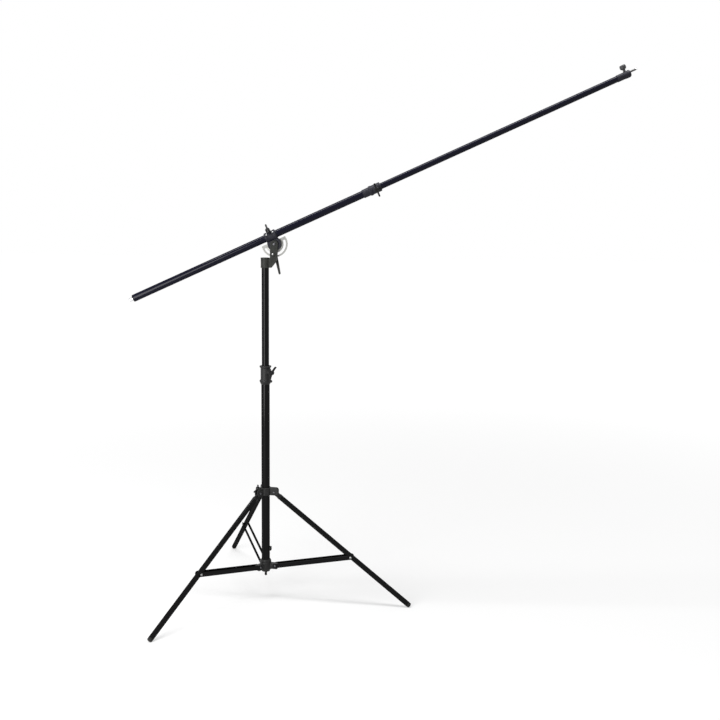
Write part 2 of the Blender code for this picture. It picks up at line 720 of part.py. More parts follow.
def leg_collar(stand):
    carriage = empty("leg_collar_slide", stand)
    low = PIVOT_HEIGHT - LEG_COLLAR_BELOW_PIVOT
    high = PIVOT_HEIGHT + LEG_COLLAR_ABOVE_PIVOT
    bore = LOWER_TUBE_RADIUS + SLIDE_GAP
    chamfer = LEG_COLLAR_CHAMFER
    profile = [
        (bore, low),
        (LEG_COLLAR_RADIUS - chamfer, low),
        (LEG_COLLAR_RADIUS, low + chamfer),
        (LEG_COLLAR_RADIUS, high - chamfer),
        (LEG_COLLAR_RADIUS - chamfer, high),
        (bore, high),
    ]
    collar = piece("leg_collar", spun(profile, FITTING_STEPS), "cast_grey", carriage)
    inner = LEG_TONGUE_WIDTH / 2 + LUG_GAP
    outer = inner + LEG_EAR_WIDTH
    reach = LEG_PIVOT_RADIUS + LEG_EAR_REACH
    for side, azimuth in LEG_AZIMUTHS.items():
        start = bore + BOSS_ROOT
        ear_low = low + LEG_EAR_INSET
        ear_high = high - LEG_EAR_INSET
        outline = [(start, ear_low), (start, ear_high)]
        corner = LEG_EAR_CORNER
        outline += arc((reach - corner, ear_high - corner), corner, 90, 0, 6)
        outline += arc((reach - corner, ear_low + corner), corner, 0, -90, 6)
        for sign in (-1, 1):
            near, far = sorted((sign * inner, sign * outer))
            ear_shape = slab(outline, near, far)
            ear_name = f"leg_ear_{side}_{sign}"
            add(collar, helper(ear_name, ear_shape, carriage, rotation=toward(azimuth)))
        place = toward(azimuth) @ Vector((LEG_PIVOT_RADIUS, 0, PIVOT_HEIGHT))
        hole = rod(RIVET_RADIUS + PIN_GAP, -2 * outer, 2 * outer)
        across = toward(azimuth) @ along_y()
        cut(collar, helper(f"leg_ear_hole_{side}", hole, carriage, place, across))
        seat = empty(f"leg_rivet_seat_{side}", carriage, place, toward(azimuth))
        rivet(f"leg_rivet_{side}", "zinc", seat, outer)
    height = PIVOT_HEIGHT + LEG_KNOB_ABOVE_PIVOT
    turn = outward(LEG_KNOB_AZIMUTH)
    boss = rod(LEG_COLLAR_BOSS_RADIUS, bore + BOSS_ROOT, LEG_COLLAR_BOSS_REACH, FITTING_STEPS)
    add(collar, helper("leg_collar_boss", boss, carriage, (0, 0, height), turn))
    hole = rod(KNOB_SCREW_RADIUS + PIN_GAP, LOWER_TUBE_RADIUS, LEG_COLLAR_BOSS_REACH + CUT_PAST)
    cut(collar, helper("leg_collar_screw_hole", hole, carriage, (0, 0, height), turn))
    place = turn @ Vector((0, 0, LEG_COLLAR_BOSS_REACH + SEAT_GAP))
    place.z = height
    axis = empty("leg_collar_knob_axis", carriage, place, turn @ toward(LEG_KNOB_ROLL + 90))
    t_knob("leg_collar_knob", axis, LEG_COLLAR_BOSS_REACH - LOWER_TUBE_RADIUS - SEAT_GAP)
    return carriage


def leg(side, azimuth, carriage, floor):
    place = toward(azimuth) @ Vector((LEG_PIVOT_RADIUS, 0, PIVOT_HEIGHT))
    droop = Matrix.Rotation(pi / 2 - LEG_ANGLE, 3, "Y")
    hinge = empty(f"leg_hinge_{side}", carriage, place, toward(azimuth) @ droop)
    leg_fitting(side, hinge)
    tube_start = LEG_SHOULDER_START + LEG_SHOULDER_LENGTH + SEAT_GAP
    tube_end = LEG_LENGTH - FOOT_CAP_LENGTH - SEAT_GAP
    inner = LEG_TUBE_RADIUS - LEG_TUBE_WALL
    tube = ring(inner, LEG_TUBE_RADIUS, tube_start, tube_end, FITTING_STEPS)
    piece(f"leg_tube_{side}", tube, "gloss_black", hinge, rotation=along_x())
    plug = inner - SEAT_GAP
    rounding_centre = (LEG_TUBE_RADIUS - FOOT_ROUNDING, LEG_LENGTH - FOOT_ROUNDING)
    profile = [
        (0, LEG_LENGTH - FOOT_CAP_LENGTH - FOOT_PLUG_LENGTH),
        (plug, LEG_LENGTH - FOOT_CAP_LENGTH - FOOT_PLUG_LENGTH),
        (plug, LEG_LENGTH - FOOT_CAP_LENGTH),
        (LEG_TUBE_RADIUS, LEG_LENGTH - FOOT_CAP_LENGTH),
    ]
    profile += arc(rounding_centre, FOOT_ROUNDING, 0, 90, 6)
    profile += [(0, LEG_LENGTH)]
    shape = spun(profile, FITTING_STEPS)
    foot = piece(f"foot_{side}", shape, "rubber_black", hinge, rotation=along_x())
    cut(foot, floor)
    return hinge


def leg_fitting(side, hinge):
    half = LEG_TONGUE_WIDTH / 2
    end = LEG_SHOULDER_START + LEG_SHOULDER_LENGTH
    plug = LEG_TUBE_RADIUS - LEG_TUBE_WALL - SEAT_GAP
    profile = [
        (0, LEG_SHOULDER_START),
        (LEG_SHOULDER_RADIUS - LEG_SHOULDER_CHAMFER, LEG_SHOULDER_START),
        (LEG_SHOULDER_RADIUS, LEG_SHOULDER_START + LEG_SHOULDER_CHAMFER),
        (LEG_SHOULDER_RADIUS, end),
        (plug, end),
        (plug, end + LEG_PLUG_LENGTH),
        (0, end + LEG_PLUG_LENGTH),
    ]
    shape = spun(profile, FITTING_STEPS)
    fitting = piece(f"leg_fitting_{side}", shape, "knob_black", hinge, rotation=along_x())
    outline = arc((0, 0), LEG_TONGUE_RADIUS, 90, 270, 8)
    root = LEG_SHOULDER_START + LEG_TONGUE_ROOT
    outline += [(root, -LEG_TONGUE_RADIUS), (root, LEG_TONGUE_RADIUS)]
    tongue = helper(f"leg_tongue_{side}", slab(outline, -half, half), hinge)
    hole_shape = rod(RIVET_RADIUS + PIN_GAP, -LEG_TONGUE_WIDTH, LEG_TONGUE_WIDTH)
    hole = helper(f"leg_tongue_hole_{side}", hole_shape, hinge, rotation=along_y())
    add(fitting, tongue)
    cut(fitting, hole)
    return fitting


def brace(side, azimuth, stand):
    place = toward(azimuth) @ Vector((HUB_PIVOT_RADIUS, 0, HUB_PIVOT_HEIGHT))
    rise = Matrix.Rotation(-BRACE_RISE, 3, "Y")
    hinge = empty(f"brace_hinge_{side}", stand, place, toward(azimuth) @ rise)
    far_face = BAR_INNER_FACE + BRACE_BAR_WIDTH
    for label, sign in (("a", 1), ("b", -1)):
        near, far = sorted((sign * BAR_INNER_FACE, sign * far_face))
        outline = rounded_end(BRACE_LENGTH, BRACE_BAR_HEIGHT / 2)
        bar = piece(f"brace_bar_{side}_{label}", slab(outline, near, far), "gloss_black", hinge)
        for spot, x in (("hub", 0), ("leg", BRACE_LENGTH)):
            hole = rod(RIVET_RADIUS + PIN_GAP, -2 * far_face, 2 * far_face)
            hole_name = f"brace_hole_{side}_{label}_{spot}"
            cut(bar, helper(hole_name, hole, hinge, (x, 0, 0), along_y()))
        bar_rivet(f"brace_rivet_{side}_{label}", hinge, sign, (BRACE_LENGTH, 0, 0))
    return hinge


# Mast and head

def guide_bush(stand):
    carriage = empty("mast_slide", stand)
    plug = UPPER_TUBE_RADIUS - UPPER_TUBE_WALL - SEAT_GAP
    seat = UPPER_TUBE_BOTTOM - SEAT_GAP
    profile = [
        (GUIDE_BUSH_BORE_RADIUS, seat - GUIDE_BUSH_LENGTH),
        (LOWER_TUBE_RADIUS - LOWER_TUBE_WALL - SEAT_GAP, seat - GUIDE_BUSH_LENGTH),
        (LOWER_TUBE_RADIUS - LOWER_TUBE_WALL - SEAT_GAP, seat),
        (plug, seat),
        (plug, seat + GUIDE_BUSH_DEPTH),
        (GUIDE_BUSH_BORE_RADIUS, seat + GUIDE_BUSH_DEPTH),
    ]
    piece("guide_bush", spun(profile, FITTING_STEPS), "knob_black", carriage)
    return carriage


def upper_tube(mast):
    inner = UPPER_TUBE_RADIUS - UPPER_TUBE_WALL
    shape = ring(inner, UPPER_TUBE_RADIUS, UPPER_TUBE_BOTTOM, UPPER_TUBE_TOP)
    return piece("upper_tube", shape, "gloss_black", mast)


def lock_place():
    angle = radians(LOCK_ANGLE)
    return (
        TILT_PIVOT_OFFSET + LOCK_RADIUS * cos(angle),
        TILT_PIVOT_HEIGHT + LOCK_RADIUS * sin(angle),
    )


def mast_head(mast):
    lock_x, lock_z = lock_place()
    bottom = SLEEVE_TOP - SLEEVE_HEIGHT
    rim = SLEEVE_RIM
    profile = [
        (BLANK_BORE_RADIUS, bottom),
        (SLEEVE_RADIUS - rim, bottom),
        (SLEEVE_RADIUS, bottom + rim),
        (SLEEVE_RADIUS, SLEEVE_TOP - rim),
        (SLEEVE_RADIUS - rim, SLEEVE_TOP),
        (BLANK_BORE_RADIUS, SLEEVE_TOP),
    ]
    head = piece("mast_head", spun(profile, FITTING_STEPS), "cast_grey", mast)
    right = TILT_PIVOT_OFFSET + ARM_CORNER_BEYOND_PIVOT
    gusset = [
        (TILT_PIVOT_OFFSET, TILT_PIVOT_HEIGHT, FORK_TOP_RADIUS),
        (lock_x, lock_z, LOCK_BOSS_RADIUS),
        (right, SLEEVE_TOP - ARM_CORNER_BELOW_SLEEVE, ARM_CORNER_RADIUS),
        (SLEEVE_RADIUS + ARM_HEEL_OFFSET, bottom + ARM_HEEL_OFFSET, ARM_HEEL_RADIUS),
    ]
    arm = helper("head_arm", slab(hull(gusset), FORK_FRONT, FORK_BACK), mast)
    web_half = HEAD_WEB_WIDTH / 2
    web_low = (SLEEVE_RADIUS / 2, -web_half, bottom + HEAD_WEB_INSET)
    web_high = (SLEEVE_RADIUS + ARM_HEEL_OFFSET, web_half, SLEEVE_TOP - HEAD_WEB_INSET)
    web = helper("head_web", block(web_low, web_high), mast)
    boss_place = (lock_x, FORK_FRONT, lock_z)
    boss_turn = Matrix.Rotation(pi / 2, 3, "X")
    boss_bore = LOCK_DOME_RADIUS + PIN_GAP
    boss_shape = ring(boss_bore, LOCK_BOSS_RADIUS - LOCK_BOSS_INSET, -BOSS_ROOT, LOCK_BOSS_HEIGHT)
    boss = helper("lock_boss", boss_shape, mast, boss_place, boss_turn)
    add(head, web, arm, boss)
    wide = PLATE_RADIUS + CUT_PAST
    slot_floor = TILT_PIVOT_HEIGHT - PLATE_RADIUS - PLATE_RIM_GAP
    slot = helper(
        "fork_slot",
        block(
            (TILT_PIVOT_OFFSET - wide, FORK_SLOT_FRONT, slot_floor),
            (TILT_PIVOT_OFFSET + wide, FORK_SLOT_BACK, TILT_PIVOT_HEIGHT + wide),
        ),
        mast,
    )
    bore_shape = rod(UPPER_TUBE_RADIUS + SEAT_GAP, bottom - wide, SLEEVE_TOP + wide, TUBE_STEPS)
    bore = helper("sleeve_bore", bore_shape, mast)
    deep = 2 * FORK_BACK
    pivot_hole = helper(
        "pivot_hole",
        rod(PIVOT_BOLT_RADIUS + PIN_GAP, -deep, deep, SMALL_STEPS),
        mast,
        (TILT_PIVOT_OFFSET, 0, TILT_PIVOT_HEIGHT),
        along_y(),
    )
    lock_hole_shape = rod(LOCK_BOLT_RADIUS + PIN_GAP, -deep, deep, SMALL_STEPS)
    lock_hole = helper("lock_hole", lock_hole_shape, mast, (lock_x, 0, lock_z), along_y())
    cut(head, slot, bore, pivot_hole, lock_hole)
    return head


def head_bolts(mast):
    front = FORK_FRONT - SEAT_GAP
    back = FORK_BACK + SEAT_GAP
    nut_end = back + PIVOT_NUT_HEIGHT
    place = (TILT_PIVOT_OFFSET, 0, TILT_PIVOT_HEIGHT)
    profile = [
        (0, front - PIVOT_HEAD_HEIGHT),
        (0.7 * PIVOT_HEAD_RADIUS, front - PIVOT_HEAD_HEIGHT),
        (PIVOT_HEAD_RADIUS, front - 0.4 * PIVOT_HEAD_HEIGHT),
        (PIVOT_HEAD_RADIUS, front),
        (PIVOT_BOLT_RADIUS, front),
        (PIVOT_BOLT_RADIUS, nut_end + PIVOT_BOLT_PAST_NUT),
        (0, nut_end + PIVOT_BOLT_PAST_NUT),
    ]
    piece("pivot_bolt", spun(profile, SMALL_STEPS), "zinc", mast, place, along_y())
    nut = ring(PIVOT_BOLT_RADIUS + PIN_GAP, PIVOT_NUT_RADIUS, back, nut_end, 6)
    nut_piece = piece("pivot_nut", nut, "zinc", mast, place, along_y())
    nut_bore = rod(PIVOT_BOLT_RADIUS + PIN_GAP, 0, 2 * nut_end)
    cut(nut_piece, helper("nut_bore", nut_bore, mast, place, along_y()))
    lock_x, lock_z = lock_place()
    dome_base = FORK_FRONT - SEAT_GAP
    lock_end = back + LEVER_THICKNESS - LOCK_BOLT_RECESS
    dome = arc((0, dome_base), LOCK_DOME_RADIUS, -90, 0, 6)
    profile = dome + [
        (LOCK_BOLT_RADIUS, dome_base),
        (LOCK_BOLT_RADIUS, lock_end),
        (0, lock_end),
    ]
    piece("lock_bolt", spun(profile, SMALL_STEPS), "chrome", mast, (lock_x, 0, lock_z), along_y())


def tilt_lever(mast):
    lock_x, lock_z = lock_place()
    axis = empty("tilt_lever_axis", mast, (lock_x, 0, lock_z))
    back = FORK_BACK + SEAT_GAP
    end = back + LEVER_THICKNESS
    root = (LEVER_ROOT_OUT, -LEVER_ROOT_DOWN, LEVER_ROOT_RADIUS)
    lean = radians(LEVER_LEAN)
    tip = (LEVER_LENGTH * cos(lean), LEVER_LENGTH * sin(lean), LEVER_TIP_RADIUS)
    hub = (0, 0, LEVER_HUB_RADIUS)
    lever = piece("tilt_lever", slab(hull([hub, root]), back, end), "knob_black", axis)
    inset = LEVER_BLADE_INSET
    blade = helper("lever_blade", slab(hull([root, tip]), back + inset, end - inset), axis)
    bore_shape = rod(LOCK_BOLT_RADIUS + PIN_GAP, 0, end + CUT_PAST)
    bore = helper("lever_bore", bore_shape, axis, rotation=along_y())
    add(lever, blade)
    cut(lever, bore)
    return axis


# Boom, in a frame whose X runs along the boom and whose Z is square to it; the tilt pivot is at its origin

def boom_clamp(tilt):
    axis_height = BOOM_ABOVE_PIVOT
    half = CLAMP_LENGTH / 2
    chamfer = CLAMP_CHAMFER
    profile = [
        (BLANK_BORE_RADIUS, -half),
        (CLAMP_RADIUS - chamfer, -half),
        (CLAMP_RADIUS, -half + chamfer),
        (CLAMP_RADIUS, half - chamfer),
        (CLAMP_RADIUS - chamfer, half),
        (BLANK_BORE_RADIUS, half),
    ]
    middle = (0, 0, axis_height)
    shape = spun(profile, FITTING_STEPS)
    clamp = piece("boom_clamp", shape, "cast_grey", tilt, middle, along_x())
    neck = [(sign * CLAMP_NECK_HALF, axis_height, CLAMP_NECK_RADIUS) for sign in (-1, 1)]
    lug_outline = hull([(0, 0, CLAMP_LUG_RADIUS), *neck])
    lug = helper("clamp_lug", slab(lug_outline, LUG_FRONT, LUG_BACK), tilt)
    add(clamp, lug)
    lean = Matrix.Rotation(radians(CLAMP_KNOB_LEAN), 3, "X")
    boss_shape = rod(CLAMP_BOSS_RADIUS, CLAMP_BOSS_ROOT, CLAMP_BOSS_REACH, FITTING_STEPS)
    boss = helper("clamp_boss", boss_shape, tilt, middle, lean)
    add(clamp, boss)
    long = CLAMP_LENGTH
    bore_shape = rod(REAR_TUBE_RADIUS + SLIDE_GAP, -long, long, TUBE_STEPS)
    boom_bore = helper("boom_bore", bore_shape, tilt, middle, along_x())
    knob_hole_shape = rod(KNOB_SCREW_RADIUS + PIN_GAP, BLANK_BORE_RADIUS, CLAMP_BOSS_REACH + CUT_PAST)
    knob_hole = helper("clamp_knob_hole", knob_hole_shape, tilt, middle, lean)
    deep = 3 * CLAMP_LUG_WIDTH
    pivot_shape = rod(PIVOT_BOLT_RADIUS + PIN_GAP, -deep, deep)
    pivot_bore = helper("clamp_pivot_bore", pivot_shape, tilt, rotation=along_y())
    cut(clamp, boom_bore, knob_hole, pivot_bore)
    back_turn = along_y()
    for label, sign in (("rear", -1), ("front", 1)):
        place = (sign * PLATE_SCREW_SPACING / 2, LUG_BACK, PLATE_SCREW_ABOVE_PIVOT)
        hole = rod(SCREW_RADIUS + PIN_GAP, -SCREW_DEPTH - SEAT_GAP, CUT_PAST)
        cut(clamp, helper(f"plate_screw_hole_{label}", hole, tilt, place, back_turn))
        front_y = -sqrt(CLAMP_RADIUS ** 2 - CLAMP_SCREW_ABOVE_BOOM ** 2)
        tilt_angle = acos(CLAMP_SCREW_ABOVE_BOOM / CLAMP_RADIUS)
        spot = (sign * CLAMP_SCREW_SPACING / 2, front_y, axis_height + CLAMP_SCREW_ABOVE_BOOM)
        turn = Matrix.Rotation(tilt_angle, 3, "X")
        shallow = CLAMP_RADIUS - REAR_TUBE_RADIUS - SLIDE_GAP
        hole = rod(SCREW_RADIUS + PIN_GAP, -2 * shallow, CUT_PAST)
        cut(clamp, helper(f"clamp_screw_hole_{label}", hole, tilt, spot, turn))
        crowned_screw(f"clamp_screw_{label}", tilt, spot, turn, shallow - 2 * SEAT_GAP, SEAT_GAP)
    knob_place = lean @ Vector((0, 0, CLAMP_BOSS_REACH + SEAT_GAP)) + Vector(middle)
    knob_axis = empty("boom_clamp_knob_axis", tilt, knob_place, lean @ toward(CLAMP_KNOB_ROLL))
    t_knob("boom_clamp_knob", knob_axis, CLAMP_BOSS_REACH - REAR_TUBE_RADIUS - 2 * SLIDE_GAP)
    return clamp


def tilt_plate(tilt):
    start = LUG_BACK + SEAT_GAP
    end = start + PLATE_THICKNESS
    edge = degrees(acos(PLATE_CHORD_ABOVE_PIVOT / PLATE_RADIUS))
    outline = arc((0, 0), PLATE_RADIUS, 90 + edge + 2, 450 - edge - 2, 40)
    half = PLATE_RADIUS * sin(radians(edge)) - PLATE_CORNER_SHAVE
    outline += [(half, PLATE_CHORD_ABOVE_PIVOT), (-half, PLATE_CHORD_ABOVE_PIVOT)]
    plate = piece("tilt_plate", slab(outline, start, end), "plate_silver", tilt)
    inner = LOCK_RADIUS - PLATE_SLOT_WIDTH / 2
    outer = LOCK_RADIUS + PLATE_SLOT_WIDTH / 2
    first = 270 - PLATE_SLOT_HALF_ANGLE
    last = 270 + PLATE_SLOT_HALF_ANGLE
    slot_outline = arc((0, 0), outer, first, last, 32)
    end_centre = arc((0, 0), LOCK_RADIUS, last, last, 1)[0]
    slot_outline += arc(end_centre, PLATE_SLOT_WIDTH / 2, last, last + 180, 8)[1:-1]
    slot_outline += arc((0, 0), inner, last, first, 32)
    start_centre = arc((0, 0), LOCK_RADIUS, first, first, 1)[0]
    slot_outline += arc(start_centre, PLATE_SLOT_WIDTH / 2, first + 180, first + 360, 8)[1:-1]
    slot = helper("plate_slot", slab(slot_outline, start - CUT_PAST, end + CUT_PAST), tilt)
    bore_shape = rod(PIVOT_BOLT_RADIUS + PIN_GAP, start - CUT_PAST, end + CUT_PAST)
    bore = helper("plate_bore", bore_shape, tilt, rotation=along_y())
    cut(plate, slot, bore)
    depth = PLATE_THICKNESS + SEAT_GAP
    for label, sign in (("rear", -1), ("front", 1)):
        place = (sign * PLATE_SCREW_SPACING / 2, end, PLATE_SCREW_ABOVE_PIVOT)
        hole = rod(SCREW_RADIUS + PIN_GAP, -2 * depth, depth)
        cut(plate, helper(f"plate_hole_{label}", hole, tilt, place, along_y()))
        sink = rod(SCREW_HEAD_RADIUS + PIN_GAP, -PLATE_SINK_DEPTH - SEAT_GAP, depth)
        cut(plate, helper(f"plate_sink_{label}", sink, tilt, place, along_y()))
        profile = [
            (0, -depth - SCREW_DEPTH + SEAT_GAP),
            (SCREW_RADIUS, -depth - SCREW_DEPTH + SEAT_GAP),
            (SCREW_RADIUS, -PLATE_SINK_DEPTH),
            (SCREW_HEAD_RADIUS, -PLATE_SINK_DEPTH),
            (SCREW_HEAD_RADIUS, -SEAT_GAP),
            (0, -SEAT_GAP),
        ]
        piece(f"plate_screw_{label}", spun(profile, SMALL_STEPS), "zinc", tilt, place, along_y())
    return plate


def rear_tube_end():
    return BOOM_COLLAR_START + BOOM_COLLAR_TUBE_SHARE


def rear_boom(boom):
    inner = REAR_TUBE_RADIUS - REAR_TUBE_WALL
    tube = ring(inner, REAR_TUBE_RADIUS, -REAR_TUBE_TAIL, rear_tube_end())
    piece("rear_tube", tube, "gloss_black", boom, rotation=along_x())
    seat = -REAR_TUBE_TAIL - SEAT_GAP
    flange = seat - TAIL_PLUG_FLANGE
    plug = inner - SEAT_GAP
    stem_bore = TAIL_STUD_STEM_RADIUS + PIN_GAP
    profile = [
        (stem_bore, flange),
        (REAR_TUBE_RADIUS - TAIL_RIM, flange),
        (REAR_TUBE_RADIUS, flange + TAIL_RIM),
        (REAR_TUBE_RADIUS, seat),
        (plug, seat),
        (plug, seat + TAIL_PLUG_DEPTH),
        (stem_bore, seat + TAIL_PLUG_DEPTH),
    ]
    piece("tail_plug", spun(profile, FITTING_STEPS), "knob_black", boom, rotation=along_x())
    stud = flange - SEAT_GAP
    stem_end = seat + TAIL_PLUG_DEPTH - 2 * TAIL_RIM
    profile = [
        (0, stud - TAIL_STUD_LENGTH),
        (TAIL_STUD_RADIUS - TAIL_RIM, stud - TAIL_STUD_LENGTH),
        (TAIL_STUD_RADIUS, stud - TAIL_STUD_LENGTH + TAIL_RIM),
        (TAIL_STUD_RADIUS, stud),
        (TAIL_STUD_STEM_RADIUS, stud),
        (TAIL_STUD_STEM_RADIUS, stem_end),
        (0, stem_end),
    ]
    piece("tail_stud", spun(profile, FITTING_STEPS), "chrome", boom, rotation=along_x())


def boom_collar(boom):
    start = BOOM_COLLAR_START
    end = start + BOOM_COLLAR_LENGTH
    bore = REAR_TUBE_RADIUS + SEAT_GAP
    throat = FRONT_TUBE_RADIUS + SLIDE_GAP
    step = rear_tube_end() + SEAT_GAP
    ring_start = start + BOOM_COLLAR_RING_START_SHARE * BOOM_COLLAR_LENGTH
    ring_end = start + BOOM_COLLAR_RING_END_SHARE * BOOM_COLLAR_LENGTH
    profile = [
        (bore, start),
        (BOOM_COLLAR_REAR_RADIUS, start),
        (BOOM_COLLAR_REAR_RADIUS, ring_start),
        (BOOM_COLLAR_RING_RADIUS, ring_start + BOOM_COLLAR_RING_SLOPE),
        (BOOM_COLLAR_RING_RADIUS, ring_end - BOOM_COLLAR_RING_SLOPE),
        (BOOM_COLLAR_FRONT_RADIUS, ring_end),
        (BOOM_COLLAR_FRONT_RADIUS, end - BOOM_COLLAR_CHAMFER),
        (BOOM_COLLAR_FRONT_RADIUS - BOOM_COLLAR_CHAMFER, end),
        (throat, end),
        (throat, step),
        (bore, step),
    ]
    collar = piece("boom_collar", spun(profile, FITTING_STEPS), "cast_grey", boom, rotation=along_x())
    knob_x = end - BOOM_KNOB_BEFORE_FRONT
    to_front = Matrix.Rotation(radians(90 + BOOM_KNOB_DROOP), 3, "X")
    boss = rod(BOOM_BOSS_RADIUS, bore + SEAT_GAP, BOOM_BOSS_REACH, FITTING_STEPS)
    add(collar, helper("boom_collar_boss", boss, boom, (knob_x, 0, 0), to_front))
    hole = rod(KNOB_SCREW_RADIUS + PIN_GAP, FRONT_TUBE_RADIUS, BOOM_BOSS_REACH + CUT_PAST)
    cut(collar, helper("boom_collar_screw_hole", hole, boom, (knob_x, 0, 0), to_front))
    place = to_front @ Vector((0, 0, BOOM_BOSS_REACH + SEAT_GAP))
    place.x = knob_x
    axis = empty("boom_collar_knob_axis", boom, place, to_front @ toward(BOOM_KNOB_ROLL))
    t_knob("boom_collar_knob", axis, BOOM_BOSS_REACH - REAR_TUBE_RADIUS - 2 * SLIDE_GAP)
    return collar


def front_boom(boom):
    slide = empty("extension_slide", boom)
    inner_end = rear_tube_end() - FRONT_TUBE_OVERLAP
    seat = inner_end - SEAT_GAP
    plug = FRONT_TUBE_RADIUS - FRONT_TUBE_WALL - SEAT_GAP
    bush = REAR_TUBE_RADIUS - REAR_TUBE_WALL - SEAT_GAP
    profile = [
        (BLANK_BORE_RADIUS, seat - INNER_BUSH_LENGTH),
        (bush, seat - INNER_BUSH_LENGTH),
        (bush, seat),
        (plug, seat),
        (plug, seat + INNER_BUSH_DEPTH),
        (BLANK_BORE_RADIUS, seat + INNER_BUSH_DEPTH),
    ]
    piece("inner_bush", spun(profile, FITTING_STEPS), "knob_black", slide, rotation=along_x())
    roll = empty("extension_roll", slide)
    tube_end = TIP_ADAPTER_START + TIP_SOCKET_DEPTH - SEAT_GAP
    tube = ring(FRONT_TUBE_RADIUS - FRONT_TUBE_WALL, FRONT_TUBE_RADIUS, inner_end, tube_end)
    piece("front_tube", tube, "gloss_black", roll, rotation=along_x())
    tip_adapter(roll)
    return roll


def tip_adapter(roll):
    start = TIP_ADAPTER_START
    socket_end = start + TIP_SOCKET_DEPTH
    end = socket_end + TIP_HEAD_LENGTH
    bore = FRONT_TUBE_RADIUS + SEAT_GAP
    rim = SPIGOT_RIM
    profile = [
        (bore, start),
        (TIP_ADAPTER_RADIUS, start),
        (TIP_ADAPTER_RADIUS, socket_end),
        (TIP_HEAD_RADIUS, socket_end + TIP_HEAD_TAPER),
    ]
    rounding = TIP_HEAD_ROUNDING
    profile += arc((TIP_HEAD_RADIUS - rounding, end - rounding), rounding, 0, 90, 5)
    profile += [(0, end), (0, socket_end), (bore, socket_end)]
    adapter = piece("tip_adapter", spun(profile, FITTING_STEPS), "cast_grey", roll, rotation=along_x())
    spigot_hole = rod(SPIGOT_RADIUS + PIN_GAP, end - SPIGOT_DEPTH - SEAT_GAP, end + CUT_PAST)
    cut(adapter, helper("spigot_hole", spigot_hole, roll, (0, 0, SPIGOT_LIFT), along_x()))
    knob_x = socket_end + TIP_KNOB_INTO_HEAD
    stem_foot = SPIGOT_LIFT + SPIGOT_RADIUS + 2 * PIN_GAP
    stem_hole = rod(TIP_KNOB_SCREW_RADIUS + PIN_GAP, SPIGOT_LIFT, 2 * TIP_HEAD_RADIUS)
    cut(adapter, helper("tip_knob_hole", stem_hole, roll, (knob_x, 0, 0)))
    spigot_axis = empty("spigot_axis", roll, (0, 0, SPIGOT_LIFT))
    profile = [
        (0, end - SPIGOT_DEPTH),
        (SPIGOT_RADIUS, end - SPIGOT_DEPTH),
        (SPIGOT_RADIUS, end + SPIGOT_LENGTH - rim),
        (SPIGOT_RADIUS - rim, end + SPIGOT_LENGTH),
        (0, end + SPIGOT_LENGTH),
    ]
    piece("tip_spigot", spun(profile, SMALL_STEPS), "chrome", spigot_axis, rotation=along_x())
    knob_axis = empty("tip_knob_axis", roll, (knob_x, 0, 0))
    seat = TIP_HEAD_RADIUS + SEAT_GAP
    foot = seat + TIP_KNOB_STEM
    profile = [
        (0, stem_foot + PIN_GAP),
        (TIP_KNOB_SCREW_RADIUS, stem_foot + PIN_GAP),
        (TIP_KNOB_SCREW_RADIUS, seat),
        (TIP_KNOB_STEM_RADIUS, seat),
        (TIP_KNOB_STEM_RADIUS, foot + BOSS_ROOT),
        (0, foot + BOSS_ROOT),
    ]
    knob = piece("tip_knob", spun(profile, SMALL_STEPS), "knob_black", knob_axis)
    outline = []
    steps = 8 * TIP_KNOB_LOBES
    for step in range(steps):
        angle = 2 * pi * step / steps
        radius = TIP_KNOB_RADIUS * (0.93 + 0.07 * cos(TIP_KNOB_LOBES * angle))
        outline.append((radius * cos(angle), radius * sin(angle)))
    lobes = slab(outline, foot, foot + TIP_KNOB_HEIGHT)
    upright = Matrix.Rotation(pi / 2, 3, "X")
    add(knob, helper("tip_knob_lobes", lobes, knob_axis, rotation=upright))
    return knob


# Places the finished stand so that the middle of its footprint box is the origin

def stand_on_origin(stand):
    bpy.context.view_layer.update()
    graph = bpy.context.evaluated_depsgraph_get()
    low = Vector((1e9, 1e9, 1e9))
    high = -low
    for obj in bpy.context.scene.collection.objects:
        if obj.type != "MESH" or obj.hide_render:
            continue
        evaluated = obj.evaluated_get(graph)
        mesh = evaluated.to_mesh()
        for vertex in mesh.vertices:
            point = evaluated.matrix_world @ vertex.co
            low = Vector(map(min, low, point))
            high = Vector(map(max, high, point))
        evaluated.to_mesh_clear()
    middle = (low + high) / 2
    stand.location = (-middle.x, -middle.y, 0)
    bpy.context.view_layer.update()


def build():
    clear_scene()
    stand = empty("stand")
    floor = helper("floor_plane", block((-1, -1, -0.1), (1, 1, 0)), stand)
    lower_tube(stand)
    bottom_plug(stand)
    brace_hub(stand)
    tube_bumper(stand)
    section_collar(stand)
    section_knob(stand)
    carriage = leg_collar(stand)
    for side, azimuth in LEG_AZIMUTHS.items():
        leg(side, azimuth, carriage, floor)
        brace(side, azimuth, stand)
    mast = empty("mast_swivel", guide_bush(stand))
    upper_tube(mast)
    mast_head(mast)
    head_bolts(mast)
    tilt_lever(mast)
    raise_boom = Matrix.Rotation(-BOOM_ELEVATION, 3, "Y")
    tilt = empty("boom_tilt", mast, (TILT_PIVOT_OFFSET, 0, TILT_PIVOT_HEIGHT), raise_boom)
    boom_clamp(tilt)
    tilt_plate(tilt)
    boom = empty("boom_slide", tilt, (0, 0, BOOM_ABOVE_PIVOT))
    rear_boom(boom)
    boom_collar(boom)
    front_boom(boom)
    stand_on_origin(stand)


build()
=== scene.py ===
# Boom stand: its looks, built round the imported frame.
# Lengths in the dictionaries are millimetres and angles are degrees; the scene itself is in metres.
import json
from math import acos, atan2, cos, hypot, pi, radians, sin, sqrt

import bmesh
import bpy
from mathutils import Matrix, Vector


